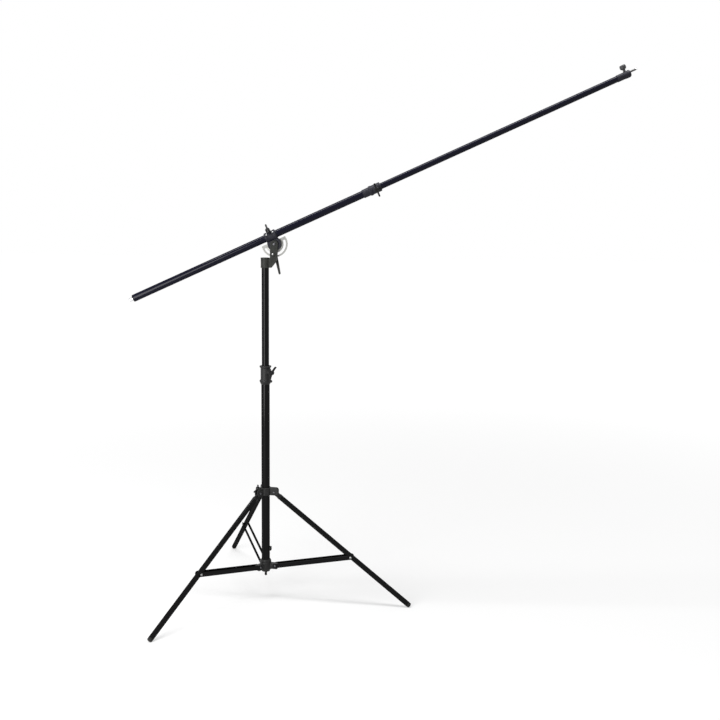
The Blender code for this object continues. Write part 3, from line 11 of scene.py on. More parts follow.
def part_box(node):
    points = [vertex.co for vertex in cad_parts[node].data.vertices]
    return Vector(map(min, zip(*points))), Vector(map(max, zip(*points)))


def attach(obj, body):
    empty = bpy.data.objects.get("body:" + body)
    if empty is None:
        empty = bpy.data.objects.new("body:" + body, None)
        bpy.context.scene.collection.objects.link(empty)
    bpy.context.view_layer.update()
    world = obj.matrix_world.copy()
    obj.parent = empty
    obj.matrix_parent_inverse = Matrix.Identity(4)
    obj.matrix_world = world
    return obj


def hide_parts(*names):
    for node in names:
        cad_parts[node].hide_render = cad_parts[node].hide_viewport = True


mm = 0.001

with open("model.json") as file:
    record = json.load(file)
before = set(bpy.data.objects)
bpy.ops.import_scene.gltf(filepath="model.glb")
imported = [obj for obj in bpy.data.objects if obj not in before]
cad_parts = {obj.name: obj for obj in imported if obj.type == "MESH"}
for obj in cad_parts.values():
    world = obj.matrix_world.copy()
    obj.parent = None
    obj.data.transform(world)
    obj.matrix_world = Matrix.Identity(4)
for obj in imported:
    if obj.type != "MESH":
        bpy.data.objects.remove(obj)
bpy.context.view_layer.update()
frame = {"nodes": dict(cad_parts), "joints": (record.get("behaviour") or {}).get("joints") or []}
joints = {joint["name"]: joint for joint in frame["joints"]}
print("frame loaded:", len(frame["nodes"]), "nodes")


# Tools for modelling: each one works on a single object, as by hand

def pickOnly(obj):
    bpy.ops.object.select_all(action="DESELECT")
    obj.select_set(True)
    bpy.context.view_layer.objects.active = obj
    return obj


def openEdit(obj, kind, action="DESELECT"):
    pickOnly(obj)
    bpy.ops.object.mode_set(mode="EDIT")
    bpy.ops.mesh.select_mode(type=kind)
    bpy.ops.mesh.select_all(action=action)
    return bmesh.from_edit_mesh(obj.data)


def closeEdit(obj):
    bpy.ops.object.mode_set(mode="OBJECT")
    return obj


def choose(obj, kind, parts, described, wanted):
    shape = openEdit(obj, kind)
    for part in getattr(shape, parts):
        part.select_set(bool(wanted(*described(part))))
    shape.select_flush_mode()
    bmesh.update_edit_mesh(obj.data)


def lineOf(edge):
    first, second = (corner.co for corner in edge.verts)
    return (first + second) / 2, (second - first).normalized()


def chooseEdges(obj, wanted):  # by the middle and direction of each edge
    choose(obj, "EDGE", "edges", lineOf, wanted)


def chooseFaces(obj, wanted):  # by the middle and normal of each face
    choose(obj, "FACE", "faces", lambda face: (face.calc_center_median(), face.normal), wanted)


def chooseCorners(obj, wanted):  # by the place of each vertex
    choose(obj, "VERT", "verts", lambda corner: (corner.co,), wanted)


def named(name):
    obj = bpy.context.object
    obj.name = obj.data.name = name
    bpy.ops.object.transform_apply(location=True, rotation=True, scale=True)
    return obj


def placed(obj, matrix):  # moves the mesh, so that the object stays at the origin
    pickOnly(obj)
    obj.matrix_world = matrix @ obj.matrix_world
    bpy.ops.object.transform_apply(location=True, rotation=True, scale=True)
    return obj


def scrapped(*models):
    for model in models:
        bpy.data.objects.remove(model)


def tidied(obj):
    openEdit(obj, "VERT", "SELECT")
    bpy.ops.mesh.remove_doubles(threshold=0.01 * mm)
    bpy.ops.mesh.normals_make_consistent(inside=False)
    return closeEdit(obj)


def turned(name, outline, steps=72):
    # The outline is (radius, height) points; that of a hollow piece comes back to its first point.
    hollow = outline[0] == outline[-1]
    radius, height = outline[0]
    bpy.ops.object.select_all(action="DESELECT")
    bpy.ops.mesh.primitive_circle_add(
        vertices=steps,
        radius=radius * mm,
        fill_type="NOTHING" if hollow else "NGON",
        location=(0, 0, height * mm),
    )
    obj = named(name)
    openEdit(obj, "EDGE" if hollow else "FACE", "SELECT")
    for nextRadius, nextHeight in outline[1:]:
        rise = (0, 0, (nextHeight - height) * mm)
        bpy.ops.mesh.extrude_region_move(TRANSFORM_OT_translate={"value": rise})
        share = nextRadius / radius
        bpy.ops.transform.resize(value=(share, share, 1), center_override=(0, 0, 0))
        radius, height = nextRadius, nextHeight
    closeEdit(obj)
    return tidied(obj)


def around(radius, height, *steps):  # outline points, set off from one corner outwards and upwards
    return [(radius + outwards, height + upwards) for outwards, upwards in steps]


def crowned(base, radius, height, *shares):  # outline points, at shares of a radius and a height
    return [(out * radius, base + up * height) for out, up in shares]


def roundedRim(radius, end, ease, steps, parts):
    angles = [pi / 2 * step / parts for step in steps]
    return [(radius - ease + ease * cos(angle), end - ease + ease * sin(angle)) for angle in angles]


def rodOf(name, radius, start, end, steps=48):
    return turned(name, [(radius, start), (radius, end)], steps)


def rodAt(matrix, radius, start, end, steps=48):  # for bosses and drills
    return placed(rodOf("rod", radius, start, end, steps), matrix)


def blockOf(name, low, high):
    middle = [(a + b) / 2 * mm for a, b in zip(low, high)]
    size = [(b - a) * mm for a, b in zip(low, high)]
    bpy.ops.object.select_all(action="DESELECT")
    bpy.ops.mesh.primitive_cube_add(size=1, location=middle, scale=size)
    return named(name)


def wrapOf(name, discs, front, back):
    # The skin stretched round several (x, z, radius) discs, from front to back along Y.
    made = []
    for x, z, radius in discs:
        bpy.ops.object.select_all(action="DESELECT")
        bpy.ops.mesh.primitive_cylinder_add(
            vertices=64,
            radius=radius * mm,
            depth=(back - front) * mm,
            location=(x * mm, (front + back) / 2 * mm, z * mm),
            rotation=(pi / 2, 0, 0),
        )
        made.append(named(name))
    obj = joined(*made)
    openEdit(obj, "VERT", "SELECT")
    bpy.ops.mesh.convex_hull()
    return closeEdit(obj)


def roundedEdges(obj, wanted, width, segments=6):
    chooseEdges(obj, wanted)
    bpy.ops.mesh.bevel(offset=width * mm, segments=segments, affect="EDGES")
    return closeEdit(obj)


def joined(first, *others):
    pickOnly(first)
    for other in others:
        other.select_set(True)
    bpy.ops.object.join()
    return first


def applied(obj, kind, settings):
    change = obj.modifiers.new(kind.lower(), kind)
    for key, value in settings.items():
        setattr(change, key, value)
    pickOnly(obj)
    bpy.ops.object.modifier_apply(modifier=change.name)
    return obj


def machined(obj, *tools, operation="DIFFERENCE"):  # drills and mills away what each tool fills
    for tool in tools:
        applied(obj, "BOOLEAN", {"operation": operation, "solver": "EXACT", "object": tool})
        scrapped(tool)
    return obj


def fused(obj, other):
    return machined(obj, other, operation="UNION")


def softened(obj, width, segments=3, angle=32):
    return applied(obj, "BEVEL", {
        "width": width * mm,
        "segments": segments,
        "limit_method": "ANGLE",
        "angle_limit": radians(angle),
        "miter_outer": "MITER_ARC",
    })


def skinned(obj, grain, ease=4, keep=0.35):
    # One skin over joined shapes, with the soft inner corners of a mould.
    applied(obj, "REMESH", {"mode": "VOXEL", "voxel_size": grain * mm})
    applied(obj, "SMOOTH", {"factor": 0.5, "iterations": ease})
    return applied(obj, "DECIMATE", {"ratio": keep})


def copied(obj):  # with a mesh of its own
    twin = obj.copy()
    twin.data = obj.data.copy()
    bpy.context.scene.collection.objects.link(twin)
    return twin


def dressed(obj, matrix, body, node, coat, angle=35):  # edges under the angle look smooth
    # Set in its place and named after its node: leg_tube_left gives legTubeLeft.
    placed(obj, matrix)
    first, *others = node.split("_")
    obj.name = obj.data.name = first + "".join(word.capitalize() for word in others)
    bpy.ops.object.shade_smooth_by_angle(angle=radians(angle))
    obj.data.materials.clear()
    obj.data.materials.append(coat)
    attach(obj, body)
    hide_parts(node)


# Tools for materials

class Signal:
    # A value on its way through a material: sums and products on it add Math nodes.
    def __init__(self, recipe, socket):
        self.recipe = recipe
        self.socket = socket

    def maths(self, operation, *others):
        return self.recipe.node("ShaderNodeMath", {"operation": operation}, dict(enumerate((self, *others))))

    def __add__(self, other):
        return self.maths("ADD", other)

    def __sub__(self, other):
        return self.maths("SUBTRACT", other)

    def __rsub__(self, other):
        return self * -1 + other

    def __mul__(self, other):
        return self.maths("MULTIPLY", other)

    __radd__ = __add__
    __rmul__ = __mul__

    def between(self, low, high):  # 0 at low and 1 at high, with soft ends
        settings = {"interpolation_type": "SMOOTHSTEP"}
        return self.recipe.node("ShaderNodeMapRange", settings, {0: self, 1: low, 2: high})

    def under(self, limit):
        return self.maths("LESS_THAN", limit)


class Recipe:
    # The nodes of one material, or of the world, written down as expressions.
    def __init__(self, owner):
        owner.use_nodes = True
        self.owner = owner
        self.nodes = owner.node_tree.nodes
        self.links = owner.node_tree.links

    def fill(self, made, sockets):
        for key, value in sockets.items():
            if isinstance(value, Signal):
                self.links.new(value.socket, made.inputs[key])
            else:
                made.inputs[key].default_value = value

    def node(self, kind, settings=None, sockets=None, out=0):
        made = self.nodes.new(kind)
        for key, value in (settings or {}).items():
            setattr(made, key, value)
        self.fill(made, sockets or {})
        return Signal(self, made.outputs[out])

    def place(self, matrix=None):  # where on the piece, in metres, in the frame of that matrix
        coords = self.node("ShaderNodeTexCoord", out="Object")
        if matrix is None:
            return coords
        back = matrix.inverted()
        sockets = {"Vector": coords, "Rotation": back.to_euler(), "Location": back.to_translation()}
        return self.node("ShaderNodeMapping", {"vector_type": "POINT"}, sockets)

    def facing(self, matrix, letter):  # how far the surface faces along one axis of that matrix
        normal = self.node("ShaderNodeTexCoord", out="Normal")
        turn = matrix.to_quaternion().inverted().to_euler()
        turned = self.node("ShaderNodeMapping", {"vector_type": "POINT"}, {"Vector": normal, "Rotation": turn})
        return self.axis(turned, letter).maths("ABSOLUTE")

    def stretched(self, place, x, y, z):
        return self.node("ShaderNodeVectorMath", {"operation": "MULTIPLY"}, {0: place, 1: (x, y, z)})

    def length(self, place):
        return self.node("ShaderNodeVectorMath", {"operation": "LENGTH"}, {0: place}, out="Value")

    def noise(self, place, scale, detail=2, roughness=0.5):
        sockets = {"Vector": place, "Scale": scale, "Detail": detail, "Roughness": roughness}
        return self.node("ShaderNodeTexNoise", {}, sockets)

    def cells(self, place, scale):
        return self.node("ShaderNodeTexVoronoi", {}, {"Vector": place, "Scale": scale})

    def axis(self, place, letter):
        return self.node("ShaderNodeSeparateXYZ", {}, {0: place}, out=letter)

    def mixed(self, share, first, second):
        return self.node("ShaderNodeMix", {"data_type": "RGBA"}, {0: share, 6: first, 7: second}, out=2)

    def bumped(self, height, strength, depth):
        return self.node("ShaderNodeBump", {}, {"Height": height, "Strength": strength, "Distance": depth * mm})

    def clear(self):  # the share of a clear coat, easing off towards the rims
        rim = self.node("ShaderNodeLayerWeight", {}, {"Blend": 0.5}, out="Facing")
        return 1 - rim.between(0.3, 0.9)

    def inView(self):  # 1 for what the camera, metal and glass see, and 0 for the light on the object
        camera, glossy, passing = (
            self.node("ShaderNodeLightPath", out=kind)
            for kind in ("Is Camera Ray", "Is Glossy Ray", "Is Transmission Ray")
        )
        return camera.maths("MAXIMUM", glossy).maths("MAXIMUM", passing)

    def finish(self, **values):
        names = {
            "colour": "Base Color",
            "roughness": "Roughness",
            "metallic": "Metallic",
            "specular": "Specular IOR Level",
            "coat": "Coat Weight",
            "coatRoughness": "Coat Roughness",
            "normal": "Normal",
            "glow": "Emission Color",
        }
        self.fill(self.nodes["Principled BSDF"], {names[key]: value for key, value in values.items()})
        return self.owner


def newRecipe(name):
    return Recipe(bpy.data.materials.new(name))


def grey(level):
    return (level, level, level, 1)


# Where things stand: the frames that the pieces are modelled in

def facing(azimuth):
    return Matrix.Rotation(radians(azimuth), 4, "Z")


def shifted(x, y=0, z=0):
    return Matrix.Translation((x * mm, y * mm, z * mm))


def lifted(height):
    return shifted(0, 0, height)


tubeLow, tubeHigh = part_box("lower_tube")
columnFrame = Matrix.Translation(((tubeLow.x + tubeHigh.x) / 2, (tubeLow.y + tubeHigh.y) / 2, 0))
pivotPlace = Vector(joints["boom_tilt"]["pos_m"])
boomDirection = Vector(joints["boom_slide"]["axis"])
boomRise = atan2(boomDirection.z, boomDirection.x)
headFrame = Matrix.Translation(pivotPlace)
tiltFrame = headFrame @ Matrix.Rotation(-boomRise, 4, "Y")
boomAbovePivot = 35.5
boomFrame = tiltFrame @ lifted(boomAbovePivot)
zToX = Matrix.Rotation(pi / 2, 4, "Y")
zToY = Matrix.Rotation(-pi / 2, 4, "X")
xToZ = Matrix.Rotation(-pi / 2, 4, "Y")
uprightFrame = columnFrame @ xToZ

# Finishes

tubeLook = {"dust": 0.05, "worn": 0.016, "roughness": 0.34, "coatRoughness": 0.13}


def tubeCoat(name, matrix, colour, gloss):
    # Black paint under a clear gloss coat on a drawn tube: drawn lines, dust and rubbed patches.
    coat = newRecipe(name)
    place = coat.place(matrix)
    lines = coat.noise(coat.stretched(place, 5, 900, 900), 1, 3)
    rubbed = coat.noise(coat.stretched(place, 7, 160, 160), 1, 5, 0.6).between(0.60, 0.80)
    cloud = coat.noise(place, 11, 4)
    peel = coat.noise(place, 520, 2)
    dust = coat.cells(place, 170).under(0.09) * cloud.between(0.52, 0.62)
    paint = coat.mixed(rubbed * 0.5, (*colour, 1), grey(tubeLook["worn"]))
    paint = coat.mixed(dust * 0.5, paint, grey(tubeLook["dust"]))
    return coat.finish(
        colour=paint,
        roughness=(cloud - 0.5) * 0.08 + (lines - 0.5) * 0.05 + rubbed * 0.10 + tubeLook["roughness"],
        specular=0.0,
        coat=coat.clear() * (gloss - rubbed * 0.3 * gloss),
        coatRoughness=tubeLook["coatRoughness"],
        normal=coat.bumped(peel + lines * 0.6, 0.10, 0.05),
    )


castLook = {"roughness": 0.46, "grain": 1250, "pits": 900, "worn": 0.08}


def castCoat(name, colour, pale, specular):
    # Painted casting: fine sandy grain, cloudy tone, and edges rubbed a little paler.
    coat = newRecipe(name)
    place = coat.place()
    grain = coat.noise(place, castLook["grain"], 3, 0.6)
    pits = coat.cells(place, castLook["pits"]).between(0.0, 0.35)
    cloud = coat.noise(place, 60, 4)
    rubbed = coat.noise(place, 190, 5, 0.65).between(0.60, 0.74)
    paint = coat.mixed(cloud.between(0.3, 0.7), (*colour, 1), (*pale, 1))
    paint = coat.mixed(rubbed * 0.25, paint, grey(castLook["worn"]))
    roughness = (cloud - 0.5) * 0.16 - rubbed * 0.08 + castLook["roughness"]
    normal = coat.bumped(grain + pits * 0.4, 0.35, 0.12)
    return coat.finish(colour=paint, roughness=roughness, specular=specular, normal=normal)


plasticLook = {"worn": 0.03, "roughness": 0.36, "grain": 1600}


def plasticCoat(name, colour, specular):
    # Moulded plastic with a fine spark-eroded texture, shinier where hands rub it.
    coat = newRecipe(name)
    place = coat.place()
    grain = coat.cells(place, plasticLook["grain"])
    cloud = coat.noise(place, 45, 3)
    worn = coat.noise(place, 260, 4, 0.6).between(0.60, 0.76)
    tone = coat.mixed(worn * 0.4, (*colour, 1), grey(plasticLook["worn"]))
    roughness = (cloud - 0.5) * 0.12 - worn * 0.1 + plasticLook["roughness"]
    normal = coat.bumped(grain, 0.22, 0.06)
    return coat.finish(colour=tone, roughness=roughness, specular=specular, normal=normal)


rubberLook = {"colour": 0.006, "dust": (0.07, 0.066, 0.058), "roughness": 0.78}


def rubberCoat(name):
    # Matt rubber that picks up floor dust low down.
    coat = newRecipe(name)
    place = coat.place()
    grain = coat.noise(place, 1400, 4, 0.7)
    cloud = coat.noise(place, 90, 5, 0.6)
    nearFloor = 1 - coat.axis(place, "Z").between(0.0, 0.02)
    dust = cloud.between(0.42, 0.66) * (nearFloor * 0.6 + 0.08)
    colour = coat.mixed(dust, grey(rubberLook["colour"]), (*rubberLook["dust"], 1))
    roughness = (cloud - 0.5) * 0.12 + rubberLook["roughness"]
    normal = coat.bumped(grain, 0.4, 0.12)
    return coat.finish(colour=colour, roughness=roughness, specular=0.3, normal=normal)


platedLook = {
    "colour": (0.27, 0.27, 0.255),
    "spangle": (0.21, 0.21, 0.20),
    "edge": 0.05,
    "rubbed": 0.30,
    "roughness": 0.34,
}


def platedCoat(name, matrix):
    # Zinc-plated sheet: rolled lines, spangle, darker sheared edges and a track where the bolt rubs.
    coat = newRecipe(name)
    place = coat.place(matrix)
    rolled = coat.noise(coat.stretched(place, 30, 30, 1500), 1, 3)
    spangle = coat.cells(place, 420)
    cloud = coat.noise(place, 70, 4)
    reach = coat.length(coat.stretched(place, 1, 0, 1))
    rubbed = 1 - (reach - tiltPlate["slotRadius"] * mm).maths("ABSOLUTE").between(0.0056, 0.0086)
    rings = coat.noise(coat.node("ShaderNodeCombineXYZ", {}, {"X": reach * 2600}), 1, 2)
    sheared = 1 - coat.facing(matrix, "Y").between(0.35, 0.9)
    colour = coat.mixed(cloud * 0.5 + spangle * 0.3, (*platedLook["colour"], 1), (*platedLook["spangle"], 1))
    colour = coat.mixed(rubbed * 0.4, colour, grey(platedLook["rubbed"]))
    colour = coat.mixed(sheared * 0.9, colour, grey(platedLook["edge"]))
    roughness = (rolled - 0.5) * 0.12 + (cloud - 0.5) * 0.1 - rubbed * (rings * 0.14) + platedLook["roughness"]
    normal = coat.bumped(rolled + rubbed * rings * 0.6, 0.15, 0.05)
    return coat.finish(colour=colour, roughness=roughness, metallic=1.0, normal=normal)


def metalCoat(name, bright, dull, roughness):
    # Small turned or pressed metal: mottled plating with a fine tooth.
    coat = newRecipe(name)
    place = coat.place()
    cloud = coat.noise(place, 300, 4)
    fine = coat.noise(place, 2200, 2)
    colour = coat.mixed(cloud.between(0.3, 0.7), (*bright, 1), (*dull, 1))
    spread = (cloud - 0.5) * 0.2 + roughness
    return coat.finish(colour=colour, roughness=spread, metallic=1.0, normal=coat.bumped(fine, 0.15, 0.05))


def chromeCoat(name, matrix):
    # Polished chrome with the faint rings of the lathe.
    coat = newRecipe(name)
    place = coat.place(matrix)
    latheLines = coat.noise(coat.stretched(place, 1800, 20, 20), 1, 3)
    cloud = coat.noise(place, 120, 4)
    colour = coat.mixed(cloud, (0.80, 0.80, 0.81, 1), (0.66, 0.67, 0.69, 1))
    roughness = cloud * 0.08 + latheLines * 0.06 + 0.09
    normal = coat.bumped(latheLines, 0.08, 0.04)
    return coat.finish(colour=colour, roughness=roughness, metallic=1.0, normal=normal)


def pinCoat(name, matrix, brightFrom):
    # A blackened steel pin, polished bright at its tip.
    coat = newRecipe(name)
    place = coat.place(matrix)
    bright = coat.axis(place, "X").between((brightFrom - 1) * mm, brightFrom * mm)
    latheLines = coat.noise(coat.stretched(place, 1800, 20, 20), 1, 3)
    worn = coat.noise(coat.stretched(place, 60, 300, 300), 1, 4).between(0.52, 0.72)
    colour = coat.mixed(worn * 0.5, grey(0.055), grey(0.30))
    colour = coat.mixed(bright, colour, grey(0.62))
    roughness = latheLines * 0.1 - bright * 0.08 + 0.26
    normal = coat.bumped(latheLines, 0.08, 0.04)
    return coat.finish(colour=colour, roughness=roughness, metallic=1.0, normal=normal)


tiltPlate = {"radius": 53.5, "thickness": 4, "chord": 12, "slotRadius": 41.7, "slotWidth": 9.5, "slotHalf": 84}

paintBlack = {"colour": (0.0016, 0.0016, 0.0018), "gloss": 0.22}

columnBlack = tubeCoat("columnBlack", uprightFrame, **paintBlack)
boomBlack = tubeCoat("boomBlack", boomFrame, (0.0012, 0.0012, 0.0085), 0.28)
castGrey = castCoat("castGrey", (0.021, 0.022, 0.020), (0.031, 0.033, 0.029), 0.12)
castBlack = castCoat("castBlack", (0.012, 0.012, 0.012), (0.020, 0.020, 0.020), 0.18)
castBlue = castCoat("castBlue", (0.013, 0.013, 0.019), (0.021, 0.021, 0.028), 0.14)
knobBlack = plasticCoat("knobBlack", (0.0045, 0.0045, 0.005), 0.16)
knobGrey = plasticCoat("knobGrey", (0.050, 0.050, 0.053), 0.25)
rubberBlack = rubberCoat("rubberBlack")
plateSilver = platedCoat("plateSilver", tiltFrame)
zincBright = metalCoat("zincBright", (0.34, 0.34, 0.33), (0.23, 0.235, 0.24), 0.30)
zincDark = metalCoat("zincDark", (0.10, 0.10, 0.105), (0.055, 0.055, 0.06), 0.38)
boomChrome = chromeCoat("boomChrome", boomFrame)
pinSteel = pinCoat("pinSteel", boomFrame, 1605)
print("finishes mixed")


# Tubes

def tubeOutline(radius, wall, start, end, ease=0.5):
    inner = radius - wall
    return [
        (inner, start + ease),
        (inner + ease / 2, start),
        (radius - ease, start),
        (radius, start + ease),
        (radius, end - ease),
        (radius - ease, end),
        (inner + ease / 2, end),
        (inner, end - ease),
        (inner, start + ease),
    ]


lowerTube = {"radius": 17.5, "wall": 1.5, "start": 118, "end": 996}
upperTube = {"radius": 15, "wall": 1.5, "start": 650.8, "end": 1450.8}
rearTube = {"radius": 15, "wall": 1.5, "start": -623, "end": 479}
frontTube = {"radius": 12.5, "wall": 1.2, "start": 389, "end": 1554.7}


def drawnTubes(matrix, coat, *rows):
    for size, body, node in rows:
        dressed(turned("tube", tubeOutline(**size), 96), matrix, body, node, coat)


# Rivets and screws

rivetSize = {"shank": 3, "hole": 3.3, "head": 5.2, "height": 2.8, "gap": 0.3, "dimple": 1.3}


def rivetHead(seat):
    # The outline of a rivet's crown, from its seat outwards.
    head, height, dimple = rivetSize["head"], rivetSize["height"], rivetSize["dimple"]
    crown = crowned(seat, head, height, (1, 0), (1, 0.22), (0.93, 0.48), (0.76, 0.76), (0.5, 0.95))
    return crown + crowned(seat, dimple, height, (1.25, 1), (0.9, 0.9), (0.5, 0.78))


def throughRivet(halfWidth):
    # Lies along Y, with a crown at each end.
    seat = halfWidth + rivetSize["gap"]
    crown = rivetHead(seat)
    outline = [(radius, -height) for radius, height in reversed(crown)]
    outline += [(rivetSize["shank"], -seat), (rivetSize["shank"], seat)] + crown
    return placed(turned("throughRivet", outline, 40), zToY)


screwSize = {"shank": 2.5, "hole": 2.8, "head": 4.4, "height": 2.6, "socket": 1.75, "socketDepth": 1.5}


def socketScrew(depth, lift):
    # A button head with a hexagon socket; it stands on the surface at Z = 0 of its frame.
    head, height = screwSize["head"], screwSize["height"]
    outline = [
        *around(screwSize["shank"], -depth, (-0.5, 0), (0, 0.5)),
        (screwSize["shank"], lift),
        *around(head, lift, (-0.2, 0), (0, 0.2)),
        *crowned(lift, head, height, (1, 0.42), (0.93, 0.66), (0.78, 0.88), (0.6, 1)),
    ]
    top = lift + height
    screw = turned("socketScrew", outline, 40)
    return machined(screw, rodOf("key", screwSize["socket"], top - screwSize["socketDepth"], top + 3, 6))


# Hub, its plug and the bumper

hubSize = {
    "bottom": 118,
    "height": 48,
    "radius": 24,
    "bore": 17.8,
    "pivotRadius": 44,
    "pivotHeight": 140,
    "lugAbove": 8.5,
    "lugBelow": 15,
    "lugReach": 11,
    "lugHalf": 11.6,
    "lugCorner": 6,
}
barSize = {"inner": 12, "width": 2.5, "height": 19}


def braceHub():
    bottom, top = hubSize["bottom"], hubSize["bottom"] + hubSize["height"]
    radius, bore = hubSize["radius"], hubSize["bore"]
    outline = around(radius, bottom, (-4, 0), (0, 4), (0, 33), (-0.8, 35), (-0.8, 37), (-0.2, 40))
    outline.append((bore + 1.8, top))
    hub = turned("braceHub", outline)
    reach = hubSize["pivotRadius"] + hubSize["lugReach"]
    low = hubSize["pivotHeight"] - hubSize["lugBelow"]
    high = hubSize["pivotHeight"] + hubSize["lugAbove"]
    half = hubSize["lugHalf"]
    lug = blockOf("lug", (12, -half, low), (reach, half, high))
    roundedEdges(lug, lambda middle, along: abs(along.y) > 0.9 and middle.x > 0.05, hubSize["lugCorner"])
    for side in sides:
        joined(hub, placed(copied(lug), facing(azimuths[side])))
    scrapped(lug)
    skinned(hub, 0.8)
    machined(hub, rodOf("bore", bore, bottom - 9, top + 9, 72))
    rivet = throughRivet(barSize["inner"] + barSize["width"])
    for side in sides:
        spot = facing(azimuths[side]) @ shifted(hubSize["pivotRadius"], 0, hubSize["pivotHeight"])
        machined(hub, rodAt(spot @ zToY, rivetSize["hole"], -2 * half, 2 * half))
        dressed(copied(rivet), columnFrame @ spot, "column", "hub_rivet_" + side, zincDark)
    scrapped(rivet)
    dressed(hub, columnFrame, "column", "brace_hub", castBlack)


plugSize = {
    "flange": 17.5,
    "flangeLow": 111.7,
    "flangeHigh": 117.7,
    "nub": 5,
    "nubLow": 91.7,
    "plug": 15.7,
    "top": 138,
}


def bottomPlug():
    size = plugSize
    nub, flange = size["nub"], size["flange"]
    low, high = size["flangeLow"], size["flangeHigh"]
    outline = [
        *around(nub, size["nubLow"], (-1.4, 0), (-0.4, 0.4), (0, 1.4)),
        *around(nub, low, (0, -1), (1, 0)),
        *around(flange, low, (-1.6, 0), (-0.4, 0.4), (0, 1.6)),
        *around(flange, high, (0, -0.5), (-0.5, 0)),
        (size["plug"], high),
        (size["plug"], size["top"]),
    ]
    plug = turned("bottomPlug", outline)
    dressed(plug, columnFrame, "column", "bottom_plug", rubberBlack)


bumperSize = {"width": 10, "outer": 25, "middle": 213, "height": 18, "azimuth": -10, "seat": 17.8}


def tubeBumper():
    half = bumperSize["width"] / 2
    low = bumperSize["middle"] - bumperSize["height"] / 2
    high = low + bumperSize["height"]
    bumper = blockOf("tubeBumper", (16, -half, low), (bumperSize["outer"], half, high))
    roundedEdges(bumper, lambda middle, along: middle.x > 0.024 and abs(along.y) > 0.9, 3)
    softened(bumper, 0.9)
    machined(bumper, rodOf("seat", bumperSize["seat"], low - 9, high + 9, 96))
    turn = columnFrame @ facing(bumperSize["azimuth"])
    dressed(bumper, turn, "column", "tube_bumper", rubberBlack)


# Knobs: a hub with two swept wings

knobSize = {
    "hub": 9.5,
    "length": 13,
    "span": 58,
    "wingWidth": 7.5,
    "wingHeight": 9,
    "sweep": 7,
    "screw": 3.5,
    "hole": 3.8,
    "stations": 12,
}


def knobWing():
    half = knobSize["span"] / 2
    low = 0.25 * knobSize["length"]
    thick = knobSize["wingWidth"] / 2
    wing = blockOf("wing", (-half, -thick, low), (half, thick, low + knobSize["wingHeight"]))
    chooseEdges(wing, lambda middle, along: abs(along.x) > 0.9)
    bpy.ops.mesh.subdivide(number_cuts=knobSize["stations"] - 1)
    closeEdit(wing)
    for station in range(knobSize["stations"] + 1):
        x = (-half + knobSize["span"] * station / knobSize["stations"]) * mm
        share = abs(x) / (half * mm)
        chooseCorners(wing, lambda spot: abs(spot.x - x) < 0.0002)
        foot = (0, 0, low * mm)
        bpy.ops.transform.resize(value=(1, 1 - 0.05 * share, 1 - 0.2 * share), center_override=foot)
        bpy.ops.transform.translate(value=(0, 0, knobSize["sweep"] * share * share * mm))
        closeEdit(wing)
    roundedEdges(wing, lambda middle, along: abs(along.x) > 0.6 or abs(middle.x) > (half - 0.1) * mm, 1.9, 4)
    return wing


def knobShape():
    hub, length = knobSize["hub"], knobSize["length"]
    outline = [
        (0.78 * hub, 0),
        (0.9 * hub, 0.6),
        *crowned(0, hub, length, (1, 0.2), (1, 0.78), (0.93, 0.92), (0.8, 1), (0.52, 1)),
        (0.47 * hub, length - 1.2),
    ]
    knob = turned("tKnob", outline)
    joined(knob, knobWing())
    return skinned(knob, 0.55, 3, 0.3)


knobModel = knobShape()


def tKnob(node, size, turn, screwEnd):
    # Stands on its boss; its screw points back to screwEnd, just outside the tube that it clamps.
    reach, screw = size["bossReach"], knobSize["screw"]
    low = screwEnd - reach
    knob = copied(knobModel)
    fused(knob, turned("screw", [(screw - 0.6, low), (screw, low + 0.6), (screw, 2)], 32))
    seat = turn @ lifted(reach + 0.3) @ facing(size["knobRoll"])
    dressed(knob, seat, node, node, knobBlack)


# Section collar between the column's tubes

sectionSize = {
    "bottom": 928,
    "top": 1006,
    "step": 996.3,
    "waist": 20.4,
    "flange": 24.5,
    "flangeHeight": 6,
    "taper": 11,
    "bore": 17.8,
    "throat": 15.4,
    "knobAzimuth": -40,
    "knobBelowTop": 26,
    "knobRoll": 145,
    "bossRadius": 9,
    "bossReach": 31,
    "screwAzimuth": -8,
    "screwBelowTop": 17,
    "earRadius": 5.5,
    "earReach": 31,
    "earAzimuth": -28,
}


